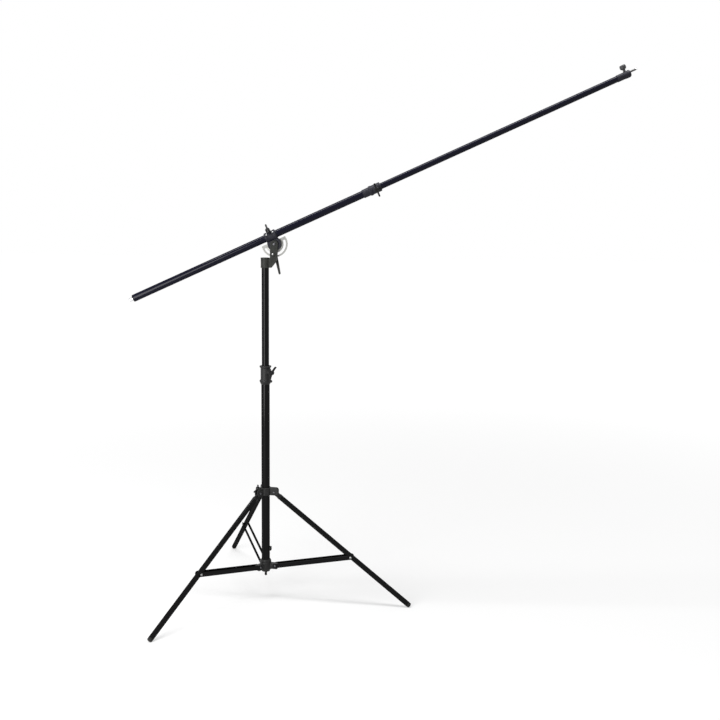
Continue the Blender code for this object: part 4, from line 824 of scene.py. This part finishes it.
def sectionCollar():
    size = sectionSize
    bottom, top, bore = size["bottom"], size["top"], size["bore"]
    waist, flange, thick = size["waist"], size["flange"], size["flangeHeight"]
    low = bottom + size["taper"]
    outline = [
        *around(bore, bottom, (0.8, 0), (1.6, 0.6)),
        *around(flange, low, (-0.6, -0.6), (0, 0.4), (0, thick)),
        *around(waist, low, (0.8, 1.4 * thick), (0, 1.7 * thick)),
        *around(waist, top, (0, -1.7 * thick), (0.8, -1.4 * thick)),
        *around(flange, top, (0, -thick), (0, -0.8), (-0.8, 0)),
    ]
    collar = turned("sectionCollar", outline)
    knobTurn = lifted(top - size["knobBelowTop"]) @ facing(size["knobAzimuth"]) @ zToX
    earTurn = lifted(low + thick / 2) @ facing(size["earAzimuth"]) @ zToX
    screwTurn = lifted(top - size["screwBelowTop"]) @ facing(size["screwAzimuth"]) @ zToX
    boss = rodAt(knobTurn, size["bossRadius"], 12, size["bossReach"])
    ear = rodAt(earTurn, size["earRadius"], 12, size["earReach"])
    joined(collar, boss, ear)
    skinned(collar, 0.8)
    machined(
        collar,
        rodOf("bore", bore, bottom - 5, size["step"], 72),
        rodOf("throat", size["throat"], bottom, top + 5, 72),
        rodAt(knobTurn, knobSize["hole"], 12, 40),
        rodAt(screwTurn, screwSize["hole"], 12, 40),
    )
    dressed(collar, columnFrame, "column", "section_collar", castBlack)
    seat = columnFrame @ screwTurn @ lifted(waist)
    dressed(socketScrew(2.0, 0.8), seat, "column", "collar_screw", zincDark)
    tKnob("section_knob", size, columnFrame @ knobTurn, lowerTube["radius"] + 0.3)


# Legs, their collar and the braces

legSize = {
    "angle": 52.15,
    "length": 747,
    "tube": 11,
    "wall": 1.2,
    "pivotRadius": 38,
    "braceOnLeg": 424,
    "tongueHalf": 4.5,
    "tongueRadius": 9,
    "shoulderStart": 25,
    "shoulderEnd": 37,
    "shoulderRadius": 11.6,
    "cap": 14,
    "capEase": 8,
}
legCollarSize = {
    "below": 13,
    "above": 20.5,
    "radius": 23.5,
    "bore": 17.9,
    "earInner": 4.9,
    "earWidth": 4,
    "earReach": 56,
    "earCorner": 11,
    "bossRadius": 8,
    "bossReach": 28.5,
    "knobAbove": 10,
    "knobAzimuth": 170,
    "knobRoll": 75,
}

sides = ("left", "right", "rear")
columnPlace = columnFrame.to_translation()
legPlaces = {side: Vector(joints[f"leg_{side}_hinge"]["pos_m"]) for side in sides}
azimuths = {}
for side in sides:
    reach = legPlaces[side] - columnPlace
    azimuths[side] = atan2(reach.y, reach.x) * 180 / pi
legHeight = legPlaces["left"].z / mm


def legCollar():
    size = legCollarSize
    low, high, radius = legHeight - size["below"], legHeight + size["above"], size["radius"]
    collar = turned("legCollar", [(radius - 2, low), (radius, low + 2), (radius, high - 2), (radius - 2, high)])
    inner, outer = size["earInner"], size["earInner"] + size["earWidth"]
    for near, far in ((inner, outer), (-outer, -inner)):
        ear = blockOf("ear", (12, near, low + 0.6), (size["earReach"], far, high - 0.6))
        roundedEdges(ear, lambda middle, along: abs(along.y) > 0.9 and middle.x > 0.05, size["earCorner"], 8)
        for side in sides:
            joined(collar, placed(copied(ear), facing(azimuths[side])))
        scrapped(ear)
    knobTurn = lifted(legHeight + size["knobAbove"]) @ facing(size["knobAzimuth"]) @ zToX
    joined(collar, rodAt(knobTurn, size["bossRadius"], 12, size["bossReach"]))
    skinned(collar, 0.75)
    bore = rodOf("bore", size["bore"], low - 5, high + 5, 72)
    machined(collar, bore, rodAt(knobTurn, knobSize["hole"], 12, 40))
    rivet = throughRivet(outer)
    for side in sides:
        slot = blockOf("slot", (radius + 1, -inner, low - 5), (80, inner, high + 5))
        spot = facing(azimuths[side]) @ shifted(legSize["pivotRadius"], 0, legHeight)
        machined(collar, placed(slot, facing(azimuths[side])), rodAt(spot @ zToY, rivetSize["hole"], -20, 20))
        dressed(copied(rivet), columnFrame @ spot, "leg_collar", "leg_rivet_" + side, zincDark)
    scrapped(rivet)
    dressed(collar, columnFrame, "leg_collar", "leg_collar", castBlack)
    tKnob("leg_collar_knob", size, columnFrame @ knobTurn, lowerTube["radius"] + 0.3)


def legFitting():
    size = legSize
    plug = size["tube"] - size["wall"] - 0.3
    shoulder, start, end = size["shoulderRadius"], size["shoulderStart"], size["shoulderEnd"]
    outline = [
        *around(shoulder, start, (-3, 0), (-1.2, 0.7), (0, 2.4)),
        *around(shoulder, end, (0, -2.6), (-0.5, -2.2), (-0.5, -1.6), (0, -1.2), (0, -0.3), (-0.3, 0)),
        *around(plug, end, (0, 0), (0, 24)),
    ]
    fitting = placed(turned("legFitting", outline), zToX)
    half, radius = size["tongueHalf"], size["tongueRadius"]
    tongue = blockOf("tongue", (-radius, -half, -radius), (start + 6, half, radius))
    roundedEdges(tongue, lambda middle, along: abs(along.y) > 0.9 and middle.x < 0, radius - 0.02, 12)
    softened(tongue, 0.7)
    fused(fitting, tongue)
    return machined(fitting, rodAt(zToY, rivetSize["hole"], -20, 20))


def foot():
    # A rubber cap with two grip grooves, worn flat where it stands; the leg lies along X.
    size = legSize
    end, start = size["length"] - 0.15, size["length"] - size["cap"]
    radius, ease = size["tube"], size["capEase"]
    plug = radius - size["wall"] - 0.3
    outline = [(plug, start - 22), (plug, start), (radius - 0.5, start), (radius, start + 0.5)]
    for groove in (3.0, 5.4):
        outline += around(radius, start + groove, (0, -0.9), (-0.7, -0.4), (-0.7, 0.4), (0, 0.9))
    outline += [*roundedRim(radius, end, ease, range(1, 9), 9), (radius - ease, end)]
    cap = placed(turned("foot", outline), zToX)
    upward = droop.inverted() @ Vector((0, 0, 1))
    openEdit(cap, "FACE", "SELECT")
    sole = upward * (0.03 - legHeight) * mm
    bpy.ops.mesh.bisect(plane_co=sole, plane_no=upward, use_fill=True, clear_inner=True)
    closeEdit(cap)
    return tidied(cap)


droop = Matrix.Rotation(radians(90 - legSize["angle"]), 4, "Y")


def legs():
    start = legSize["shoulderEnd"] + 0.3
    end = legSize["length"] - legSize["cap"] - 0.3
    tube = placed(turned("legTube", tubeOutline(legSize["tube"], legSize["wall"], start, end, 0.4), 80), zToX)
    fitting, cap = legFitting(), foot()
    for side in sides:
        matrix = Matrix.Translation(legPlaces[side]) @ facing(azimuths[side]) @ droop
        coat = tubeCoat("legBlack" + side.capitalize(), matrix, **paintBlack)
        dressed(copied(tube), matrix, "leg_" + side, "leg_tube_" + side, coat)
        dressed(copied(fitting), matrix, "leg_" + side, "leg_fitting_" + side, knobBlack)
        dressed(copied(cap), matrix, "leg_" + side, "foot_" + side, rubberBlack)
    scrapped(tube, fitting, cap)


def braces():
    angle = radians(legSize["angle"])
    outerRadius = legSize["pivotRadius"] + legSize["braceOnLeg"] * sin(angle)
    outerHeight = legHeight - legSize["braceOnLeg"] * cos(angle)
    run, climb = outerRadius - hubSize["pivotRadius"], outerHeight - hubSize["pivotHeight"]
    length, rise = hypot(run, climb), atan2(climb, run)
    half = barSize["height"] / 2
    inner, outer = barSize["inner"], barSize["inner"] + barSize["width"]
    bar = blockOf("braceBar", (-half, inner, -half), (length + half, outer, half))
    roundedEdges(bar, lambda middle, along: abs(along.y) > 0.9, half - 0.02, 14)
    softened(bar, 0.5, 2)
    for x in (0, length):
        machined(bar, rodAt(shifted(x) @ zToY, rivetSize["hole"], inner - 5, outer + 5))
    seat = outer + rivetSize["gap"]
    outline = [(rivetSize["shank"], inner), (rivetSize["shank"], seat)] + rivetHead(seat)
    rivet = placed(turned("braceRivet", outline, 40), shifted(length) @ zToY)
    for side in sides:
        place = Vector(joints[f"brace_{side}_hinge"]["pos_m"])
        matrix = Matrix.Translation(place) @ facing(azimuths[side]) @ Matrix.Rotation(-rise, 4, "Y")
        coat = tubeCoat("braceBlack" + side.capitalize(), matrix, **paintBlack)
        for label, turn in (("a", Matrix.Identity(4)), ("b", Matrix.Rotation(pi, 4, "X"))):
            body, spot, end = "brace_" + side, matrix @ turn, f"{side}_{label}"
            dressed(copied(bar), spot, body, "brace_bar_" + end, coat, 15)
            dressed(copied(rivet), spot, body, "brace_rivet_" + end, zincBright)
    scrapped(bar, rivet)


# Head of the mast

headSize = {
    "sleeveRadius": 19.2,
    "sleeveHigh": -55.6,
    "sleeveHeight": 42,
    "bore": 15.3,
    "pivotOut": 37.9,
    "lockRadius": 41.7,
    "lockAngle": -99,
    "forkFront": -15.3,
    "forkBack": 15.6,
    "slotFront": -9.3,
    "slotBack": 9.6,
    "slotFloor": -54.6,
    "topRadius": 15.7,
    "lockBoss": 11.4,
    "lockBossHeight": 2.5,
    "cornerOut": 3.2,
    "cornerDown": 11,
    "cornerRadius": 6.5,
    "heelOut": 5,
    "heelUp": 5,
    "heelRadius": 4,
    "webHalf": 12,
    "pivotHole": 4.3,
    "lockHole": 4.5,
    "dome": 5,
}
lockX = headSize["lockRadius"] * cos(radians(headSize["lockAngle"]))
lockZ = headSize["lockRadius"] * sin(radians(headSize["lockAngle"]))
lockPlace = shifted(lockX, 0, lockZ)


def mastHead():
    # Modelled about the tilt pivot: the column stands at X = -37.9.
    size = headSize
    high, low = size["sleeveHigh"], size["sleeveHigh"] - size["sleeveHeight"]
    radius = size["sleeveRadius"]
    toColumn = shifted(-size["pivotOut"])
    outline = around(radius, low, (-1.4, 0), (0, 1.4), (0, 5), (-0.7, 6))
    outline += around(radius, high, (-0.7, -6), (0, -5), (0, -1.4), (-1.4, 0))
    head = placed(turned("mastHead", outline), toColumn)
    corner = (size["cornerOut"], high - size["cornerDown"], size["cornerRadius"])
    heel = (radius + size["heelOut"] - size["pivotOut"], low + size["heelUp"], size["heelRadius"])
    discs = [(0, 0, size["topRadius"]), (lockX, lockZ, size["lockBoss"]), corner, heel]
    arm = wrapOf("arm", discs, size["forkFront"], size["forkBack"])
    web = blockOf("web", (-30, -size["webHalf"], low + 2), (heel[0], size["webHalf"], high - 2))
    lockTurn = shifted(lockX, size["forkFront"], lockZ) @ Matrix.Rotation(pi / 2, 4, "X")
    joined(head, arm, web, rodAt(lockTurn, size["lockBoss"] - 0.8, -4, size["lockBossHeight"]))
    skinned(head, 0.75)
    machined(
        head,
        blockOf("slot", (-70, size["slotFront"], size["slotFloor"]), (70, size["slotBack"], 60)),
        rodAt(toColumn, size["bore"], low - 9, high + 60, 72),
        rodAt(zToY, size["pivotHole"], -40, 40),
        rodAt(lockPlace @ zToY, size["lockHole"], -40, 40),
        rodAt(lockTurn, size["dome"] + 0.3, 0, 9),
    )
    dressed(head, headFrame, "mast", "mast_head", castGrey)


boltSize = {
    "pivot": 4,
    "head": 6,
    "headHeight": 3.5,
    "key": 2.1,
    "nut": 7,
    "nutHeight": 5,
    "pastNut": 1.5,
    "lock": 4.2,
}


def headBolts():
    front, back = headSize["forkFront"] - 0.3, headSize["forkBack"] + 0.3
    size = boltSize
    head, height = size["head"], size["headHeight"]
    end = back + size["nutHeight"] + size["pastNut"]
    outline = [
        *crowned(front, head, -height, (0.55, 1), (0.82, 0.86), (0.95, 0.6), (1, 0.3), (1, 0)),
        (size["pivot"], front),
        *around(size["pivot"], end, (0, -0.7), (-0.7, 0)),
    ]
    bolt = turned("pivotBolt", outline, 48)
    machined(bolt, rodOf("key", size["key"], front - height - 3, front - height + 2, 6))
    dressed(bolt, headFrame @ zToY, "mast", "pivot_bolt", zincDark)
    nut = rodOf("pivotNut", size["nut"], back, back + size["nutHeight"], 6)
    machined(nut, rodOf("nutBore", size["pivot"] + 0.3, back - 5, back + 20))
    softened(nut, 0.45, 2)
    dressed(nut, headFrame @ zToY, "mast", "pivot_nut", zincBright)
    dome, lockEnd = headSize["dome"], back + leverSize["thickness"] - 1
    outline = []
    for step in range(1, 9):
        angle = pi / 2 * step / 8
        outline.append((dome * sin(angle), front - dome * cos(angle)))
    outline += [(size["lock"], front), (size["lock"], lockEnd - 0.6), (size["lock"] - 0.6, lockEnd)]
    lock = turned("lockBolt", outline, 48)
    dressed(lock, headFrame @ lockPlace @ zToY, "mast", "lock_bolt", zincBright)


leverSize = {
    "thickness": 10,
    "hub": 11,
    "length": 84,
    "root": (9.2, -2.4, 7),
    "tipRadius": 4.2,
    "lean": -72,
    "inset": 1.5,
}


def tiltLever():
    size = leverSize
    back = headSize["forkBack"] + 0.3
    end = back + size["thickness"]
    root, lean = size["root"], radians(size["lean"])
    tip = (size["length"] * cos(lean), size["length"] * sin(lean), size["tipRadius"])
    lever = wrapOf("tiltLever", [(0, 0, size["hub"]), root], back, end)
    blade = wrapOf("blade", [root, tip], back + size["inset"], end - size["inset"])
    joined(lever, blade)
    skinned(lever, 0.6)
    machined(lever, rodAt(zToY, boltSize["lock"] + 0.3, 0, 60))
    dressed(lever, headFrame @ lockPlace, "tilt_lever", "tilt_lever", castGrey)


# Boom clamp and tilt plate, in the frame that tilts with the boom

clampSize = {
    "radius": 21,
    "length": 48,
    "lugRadius": 28,
    "lugFront": -9,
    "lugBack": 5,
    "neckRadius": 12,
    "neckHalf": 8,
    "bore": 15.4,
    "knobLean": 37,
    "knobRoll": 90,
    "bossRadius": 10,
    "bossReach": 27,
    "screwSpacing": 27,
    "screwAbove": 11.3,
}


def boomClamp():
    size = clampSize
    half, radius = size["length"] / 2, size["radius"]
    middle = lifted(boomAbovePivot)
    outline = around(radius, -half, (-2, 0), (-0.5, 0.6), (0, 2), (0, 8), (-0.7, 9))
    outline += around(radius, half, (-0.7, -9), (0, -8), (0, -2), (-0.5, -0.6), (-2, 0))
    clamp = placed(turned("boomClamp", outline), middle @ zToX)
    lean = Matrix.Rotation(radians(size["knobLean"]), 4, "X")
    boss = rodAt(middle @ lean, size["bossRadius"], 5, size["bossReach"])
    necks = [(x, boomAbovePivot, size["neckRadius"]) for x in (-size["neckHalf"], size["neckHalf"])]
    lug = wrapOf("lug", [(0, 0, size["lugRadius"]), *necks], size["lugFront"], size["lugBack"])
    joined(clamp, lug, boss)
    skinned(clamp, 0.75)
    lugTop = boomAbovePivot - radius + 0.5
    machined(
        clamp,
        rodAt(middle @ zToX, size["bore"], -60, 60, 72),
        rodAt(middle @ lean, knobSize["hole"], 6, 60),
        rodAt(zToY, headSize["pivotHole"], -60, 60),
        blockOf("backFace", (-60, size["lugBack"], -60), (60, size["lugBack"] + 9, lugTop)),
        blockOf("frontFace", (-60, size["lugFront"] - 9, -60), (60, size["lugFront"], lugTop)),
    )
    seat = -sqrt(radius ** 2 - size["screwAbove"] ** 2)
    tilt = Matrix.Rotation(acos(size["screwAbove"] / radius), 4, "X")
    screw = socketScrew(5.0, 0.3)
    for end, sign in (("rear", -1), ("front", 1)):
        place = Vector((sign * size["screwSpacing"] / 2, seat, boomAbovePivot + size["screwAbove"])) * mm
        spot = Matrix.Translation(place) @ tilt
        plateSpot = shifted(sign * plateScrew["apart"] / 2, size["lugBack"], plateScrew["height"]) @ zToY
        machined(clamp, rodAt(spot, screwSize["hole"], -9, 9), rodAt(plateSpot, screwSize["hole"], -4.3, 9))
        dressed(copied(screw), tiltFrame @ spot, "clamp", "clamp_screw_" + end, zincBright)
    scrapped(screw)
    dressed(clamp, tiltFrame, "clamp", "boom_clamp", castBlue)
    tKnob("boom_clamp_knob", size, tiltFrame @ middle @ lean, rearTube["radius"] + 0.8)


plateScrew = {"apart": 34, "height": 8, "sink": 2.2, "deep": 8.0}


def halfMoonPlate():
    size = tiltPlate
    start = clampSize["lugBack"] + 0.3
    end = start + size["thickness"]
    plate = placed(rodOf("tiltPlate", size["radius"], start, end, 160), zToY)
    machined(plate, blockOf("chord", (-80, start - 9, size["chord"]), (80, end + 9, 80)))
    band = rodOf("band", size["slotRadius"] + size["slotWidth"] / 2, start - 5, end + 5, 160)
    core = rodOf("core", size["slotRadius"] - size["slotWidth"] / 2, start - 9, end + 9, 160)
    placed(machined(band, core), zToY)
    tipAngle = radians(90 - size["slotHalf"])
    tipX, tipZ = size["slotRadius"] * cos(tipAngle), -size["slotRadius"] * sin(tipAngle)
    machined(band, blockOf("above", (-80, start - 20, tipZ), (80, end + 20, 80)))
    tools = [band, rodAt(zToY, headSize["pivotHole"], start - 5, end + 5)]
    screw = plateScrewShape()
    for label, sign in (("rear", -1), ("front", 1)):
        slotEnd = shifted(sign * tipX, 0, tipZ) @ zToY
        place = Vector((sign * plateScrew["apart"] / 2, end, plateScrew["height"])) * mm
        spot = Matrix.Translation(place) @ zToY
        tools.append(rodAt(slotEnd, size["slotWidth"] / 2, start - 5, end + 5))
        tools.append(rodAt(spot, screwSize["head"] + 0.3, -plateScrew["sink"], 5))
        tools.append(rodAt(spot, screwSize["hole"], -9, 5))
        dressed(copied(screw), tiltFrame @ spot, "clamp", "plate_screw_" + label, zincBright)
    scrapped(screw)
    machined(plate, *tools)
    softened(plate, 0.35, 2, 40)
    dressed(plate, tiltFrame, "clamp", "tilt_plate", plateSilver, 15)


def plateScrewShape():
    head, shank, deep = screwSize["head"], screwSize["shank"], plateScrew["deep"]
    seat = 0.3 - plateScrew["sink"]
    outline = [(shank - 0.4, -deep), (shank, 0.4 - deep), (shank, seat)]
    outline += [(head, seat), (head, -0.6), (head - 0.3, -0.3)]
    screw = turned("plateScrew", outline, 40)
    return machined(screw, rodOf("key", screwSize["socket"], seat + 0.2, 3, 6))


# Boom: the rear tube's tail, the collar and the tip of the front tube

tailSize = {"flange": 3, "plugDepth": 22, "stem": 4, "stud": 8, "studLength": 17}


def boomTail():
    seat = rearTube["start"] - 0.3
    flange = seat - tailSize["flange"]
    bore, radius = tailSize["stem"] + 0.3, rearTube["radius"]
    plug = radius - rearTube["wall"] - 0.3
    deep = seat + tailSize["plugDepth"]
    outline = [
        (bore, flange),
        *around(radius, flange, (-2.2, 0), (-0.9, 0.3), (-0.2, 1)),
        *around(radius, seat, (0, -0.6), (-0.3, 0)),
        (plug, seat),
        (plug, deep),
        (bore, deep),
        (bore, flange),
    ]
    cap = turned("tailPlug", outline)
    dressed(cap, boomFrame @ zToX, "boom", "tail_plug", knobBlack)
    stud, end = tailSize["stud"], flange - 0.3
    tip = end - tailSize["studLength"]
    outline = [
        *around(stud, tip, (-1.6, 0), (-0.5, 0.4), (0, 1.4), (0, 5), (-0.7, 5.7), (-0.7, 7.7), (0, 8.4)),
        *around(stud, end, (0, -0.6), (-0.6, 0)),
        (tailSize["stem"], end),
        (tailSize["stem"], deep - 2),
    ]
    dressed(turned("tailStud", outline), boomFrame @ zToX, "boom", "tail_stud", boomChrome)


collarSize = {
    "start": 413,
    "end": 492,
    "step": 479.3,
    "rearRadius": 17.6,
    "frontRadius": 19,
    "ringRadius": 20.5,
    "ringStart": 441.4,
    "ringEnd": 454.1,
    "bore": 15.3,
    "throat": 12.9,
    "knobX": 471,
    "knobDroop": 12,
    "knobRoll": 90,
    "bossRadius": 10.5,
    "bossReach": 24,
}


def boomCollar():
    size = collarSize
    start, end, rear, front = size["start"], size["end"], size["rearRadius"], size["frontRadius"]
    ring, ringStart, ringEnd = size["ringRadius"], size["ringStart"], size["ringEnd"]
    outline = [
        *around(rear, start, (-0.6, 0), (0, 0.7), (0, 6), (-0.5, 6.6), (-0.5, 8), (0, 8.6)),
        (rear, ringStart),
        *around(ring, ringStart, (-0.4, 1.8), (0, 2.6)),
        *around(ring, ringEnd, (0, -2.6), (-0.4, -1.8)),
        (front, ringEnd),
        *around(front, end, (0, -3.4), (-0.8, -1.6), (-2.6, 0)),
    ]
    collar = placed(turned("boomCollar", outline), zToX)
    toFront = shifted(size["knobX"]) @ Matrix.Rotation(radians(90 + size["knobDroop"]), 4, "X")
    joined(collar, rodAt(toFront, size["bossRadius"], 6, size["bossReach"]))
    skinned(collar, 0.75)
    machined(
        collar,
        rodAt(zToX, size["bore"], start - 9, size["step"], 72),
        rodAt(zToX, size["throat"], start, end + 9, 72),
        rodAt(toFront, knobSize["hole"], 6, 40),
    )
    dressed(collar, boomFrame, "boom", "boom_collar", castBlue)
    tKnob("boom_collar_knob", size, boomFrame @ toFront, rearTube["radius"] + 0.8)


tipSize = {
    "start": 1523,
    "socketEnd": 1555,
    "end": 1581,
    "radius": 14,
    "headRadius": 15,
    "headEase": 7,
    "bore": 12.8,
    "spigot": 4,
    "spigotStart": 1557.5,
    "spigotEnd": 1611,
    "spigotLift": 5,
    "knobX": 1561,
    "knobRadius": 13,
    "knobCore": 0.94,
    "knobLobes": 1.06,
    "knobHeight": 19,
    "knobStem": 8,
    "knobStemRadius": 5.5,
    "knobScrew": 3,
}


def boomTip():
    size = tipSize
    start, socketEnd, end = size["start"], size["socketEnd"], size["end"]
    radius, head, ease = size["radius"], size["headRadius"], size["headEase"]
    outline = [
        *around(radius, start, (-0.6, 0), (0, 0.7)),
        (radius, socketEnd - 2),
        *around(head, socketEnd, (-0.2, 2), (0, 4)),
        *roundedRim(head, end, ease, range(9), 8),
    ]
    adapter = placed(turned("tipAdapter", outline), zToX)
    knobPlace = shifted(size["knobX"])
    spigotLine = lifted(size["spigotLift"]) @ zToX
    machined(
        adapter,
        rodAt(zToX, size["bore"], start - 9, socketEnd, 72),
        rodAt(spigotLine, size["spigot"] + 0.3, size["spigotStart"] - 0.3, end + 9),
        rodAt(knobPlace, size["knobScrew"] + 0.3, size["spigotLift"], 40),
    )
    softened(adapter, 0.3, 2, 40)
    dressed(adapter, boomFrame, "extension", "tip_adapter", castBlue)
    spigot, tip = size["spigot"], size["spigotEnd"]
    outline = [(spigot, size["spigotStart"])]
    outline += around(spigot, tip, (0, -6), (-0.5, -5.4), (-0.5, -4.2), (0, -3.6))
    outline += around(spigot, tip, (0, -1.5), (-0.5, -0.5), (-1.5, 0))
    pin = turned("tipSpigot", outline, 48)
    dressed(pin, boomFrame @ spigotLine, "spigot", "tip_spigot", pinSteel)
    dressed(tipKnob(), boomFrame @ knobPlace, "tip_knob", "tip_knob", knobGrey)


def tipKnob():
    # Six shallow lobes between two domed ends, on a round stem.
    size = tipSize
    seat = size["headRadius"] + 0.3
    foot = seat + size["knobStem"]
    top = foot + size["knobHeight"]
    bpy.ops.object.select_all(action="DESELECT")
    bpy.ops.mesh.primitive_cylinder_add(
        vertices=24,
        radius=size["knobCore"] * size["knobRadius"] * mm,
        depth=size["knobHeight"] * mm,
        location=(0, 0, (foot + top) / 2 * mm),
    )
    knob = named("tipKnob")
    chooseFaces(knob, lambda middle, normal: abs(normal.z) < 0.5 and cos(6 * atan2(middle.y, middle.x)) > 0.5)
    bpy.ops.transform.resize(value=(size["knobLobes"], size["knobLobes"], 1), center_override=(0, 0, 0))
    closeEdit(knob)
    for sign in (1, -1):
        chooseFaces(knob, lambda middle, normal: normal.z * sign > 0.9)
        bpy.ops.transform.translate(value=(0, 0, -5.5 * sign * mm))
        for rise, share in ((3.6, 0.90), (1.5, 0.78), (0.4, 0.70)):
            bpy.ops.mesh.extrude_region_move(TRANSFORM_OT_translate={"value": (0, 0, rise * sign * mm)})
            bpy.ops.transform.resize(value=(share, share, 1), center_override=(0, 0, 0))
        closeEdit(knob)
    applied(knob, "SUBSURF", {"levels": 2, "render_levels": 2})
    stem = turned("stem", [
        (size["knobScrew"], size["spigotLift"] + 4.9),
        (size["knobScrew"], seat),
        (size["knobStemRadius"], seat),
        (size["knobStemRadius"], foot + 3),
    ], 48)
    return fused(knob, stem)


def hiddenBushes():  # these two sit inside the tubes and keep their own shapes
    for node in ("guide_bush", "inner_bush"):
        mesh = frame["nodes"][node].data
        mesh.materials.clear()
        mesh.materials.append(knobBlack)


drawnTubes(
    columnFrame,
    columnBlack,
    (lowerTube, "column", "lower_tube"),
    (upperTube, "mast", "upper_tube"),
)
bottomPlug()
braceHub()
tubeBumper()
sectionCollar()
print("column built")
legCollar()
legs()
braces()
print("legs built")
mastHead()
headBolts()
tiltLever()
boomClamp()
halfMoonPlate()
print("head built")
drawnTubes(
    boomFrame @ zToX,
    boomBlack,
    (rearTube, "boom", "rear_tube"),
    (frontTube, "extension", "front_tube"),
)
boomTail()
boomCollar()
boomTip()
hiddenBushes()
scrapped(knobModel)
print("boom built")


# Studio: a pale floor, soft light and the photograph's camera

studio = {
    "floorSize": 60,
    "floorColour": 0.5,
    "floorNear": 0.30,
    "floorFar": 0.88,
    "worldLight": 0.25,
    "worldSeen": 1.0,
}


def paleFloor():
    bpy.ops.object.select_all(action="DESELECT")
    bpy.ops.mesh.primitive_plane_add(size=studio["floorSize"], location=(0, 0, 0))
    floor = named("paleFloor")
    coat = newRecipe("floorPaint")
    place = coat.place()
    cloud = coat.noise(place, 3, 3)
    colour = coat.mixed(cloud * 0.2, grey(studio["floorColour"]), grey(0.96 * studio["floorColour"]))
    away = coat.length(place).between(-3, 6)
    white = coat.mixed(away, grey(studio["floorNear"]), grey(studio["floorFar"]))
    coat.finish(colour=colour, roughness=0.9, specular=0.0, glow=coat.mixed(coat.inView(), grey(0), white))
    coat.nodes["Principled BSDF"].inputs["Emission Strength"].default_value = 1
    floor.data.materials.append(coat.owner)


def skyLight():
    world = bpy.data.worlds.new("softRoom")
    bpy.context.scene.world = world
    room = Recipe(world)
    colour = room.mixed(room.inView(), grey(studio["worldLight"]), grey(studio["worldSeen"]))
    room.fill(room.nodes["Background"], {"Color": colour, "Strength": 1})


lamps = {
    "overhead": {"place": (-0.3, -0.15, 3.3), "target": (-0.3, 0, 1.6), "size": (3.4, 0.3), "power": 72},
    "fromLeft": {"place": (-1.9, -2.6, 1.35), "target": (0, 0, 1.2), "size": (1.6, 2.4), "power": 100},
}


def softLamps():
    for name, lamp in lamps.items():
        data = bpy.data.lights.new(name, "AREA")
        data.shape = "RECTANGLE"
        data.size, data.size_y = lamp["size"]
        data.energy = lamp["power"]
        obj = bpy.data.objects.new(name, data)
        bpy.context.scene.collection.objects.link(obj)
        obj.location = lamp["place"]
        look = Vector(lamp["target"]) - Vector(lamp["place"])
        obj.rotation_euler = look.to_track_quat("-Z", "Y").to_euler()


cameraSize = {
    "across": 394.2,
    "back": 4030,
    "height": 1652.4,
    "pitch": 0.15206,
    "roll": 0.01284,
    "lens": 48.9076,
}


def photoCamera():
    data = bpy.data.cameras.new("photoCamera")
    data.lens = cameraSize["lens"]
    data.sensor_width = 36
    data.clip_end = 100
    camera = bpy.data.objects.new("photoCamera", data)
    bpy.context.scene.collection.objects.link(camera)
    spot = Vector((cameraSize["across"], -cameraSize["back"], cameraSize["height"])) * mm
    level = Matrix.Rotation(pi / 2 - cameraSize["pitch"], 4, "X")
    roll = Matrix.Rotation(cameraSize["roll"], 4, "Z")
    camera.matrix_world = columnFrame @ Matrix.Translation(spot) @ level @ roll
    bpy.context.scene.camera = camera


paleFloor()
skyLight()
softLamps()
photoCamera()
bpy.context.scene.view_settings.view_transform = "Standard"
print("studio set")
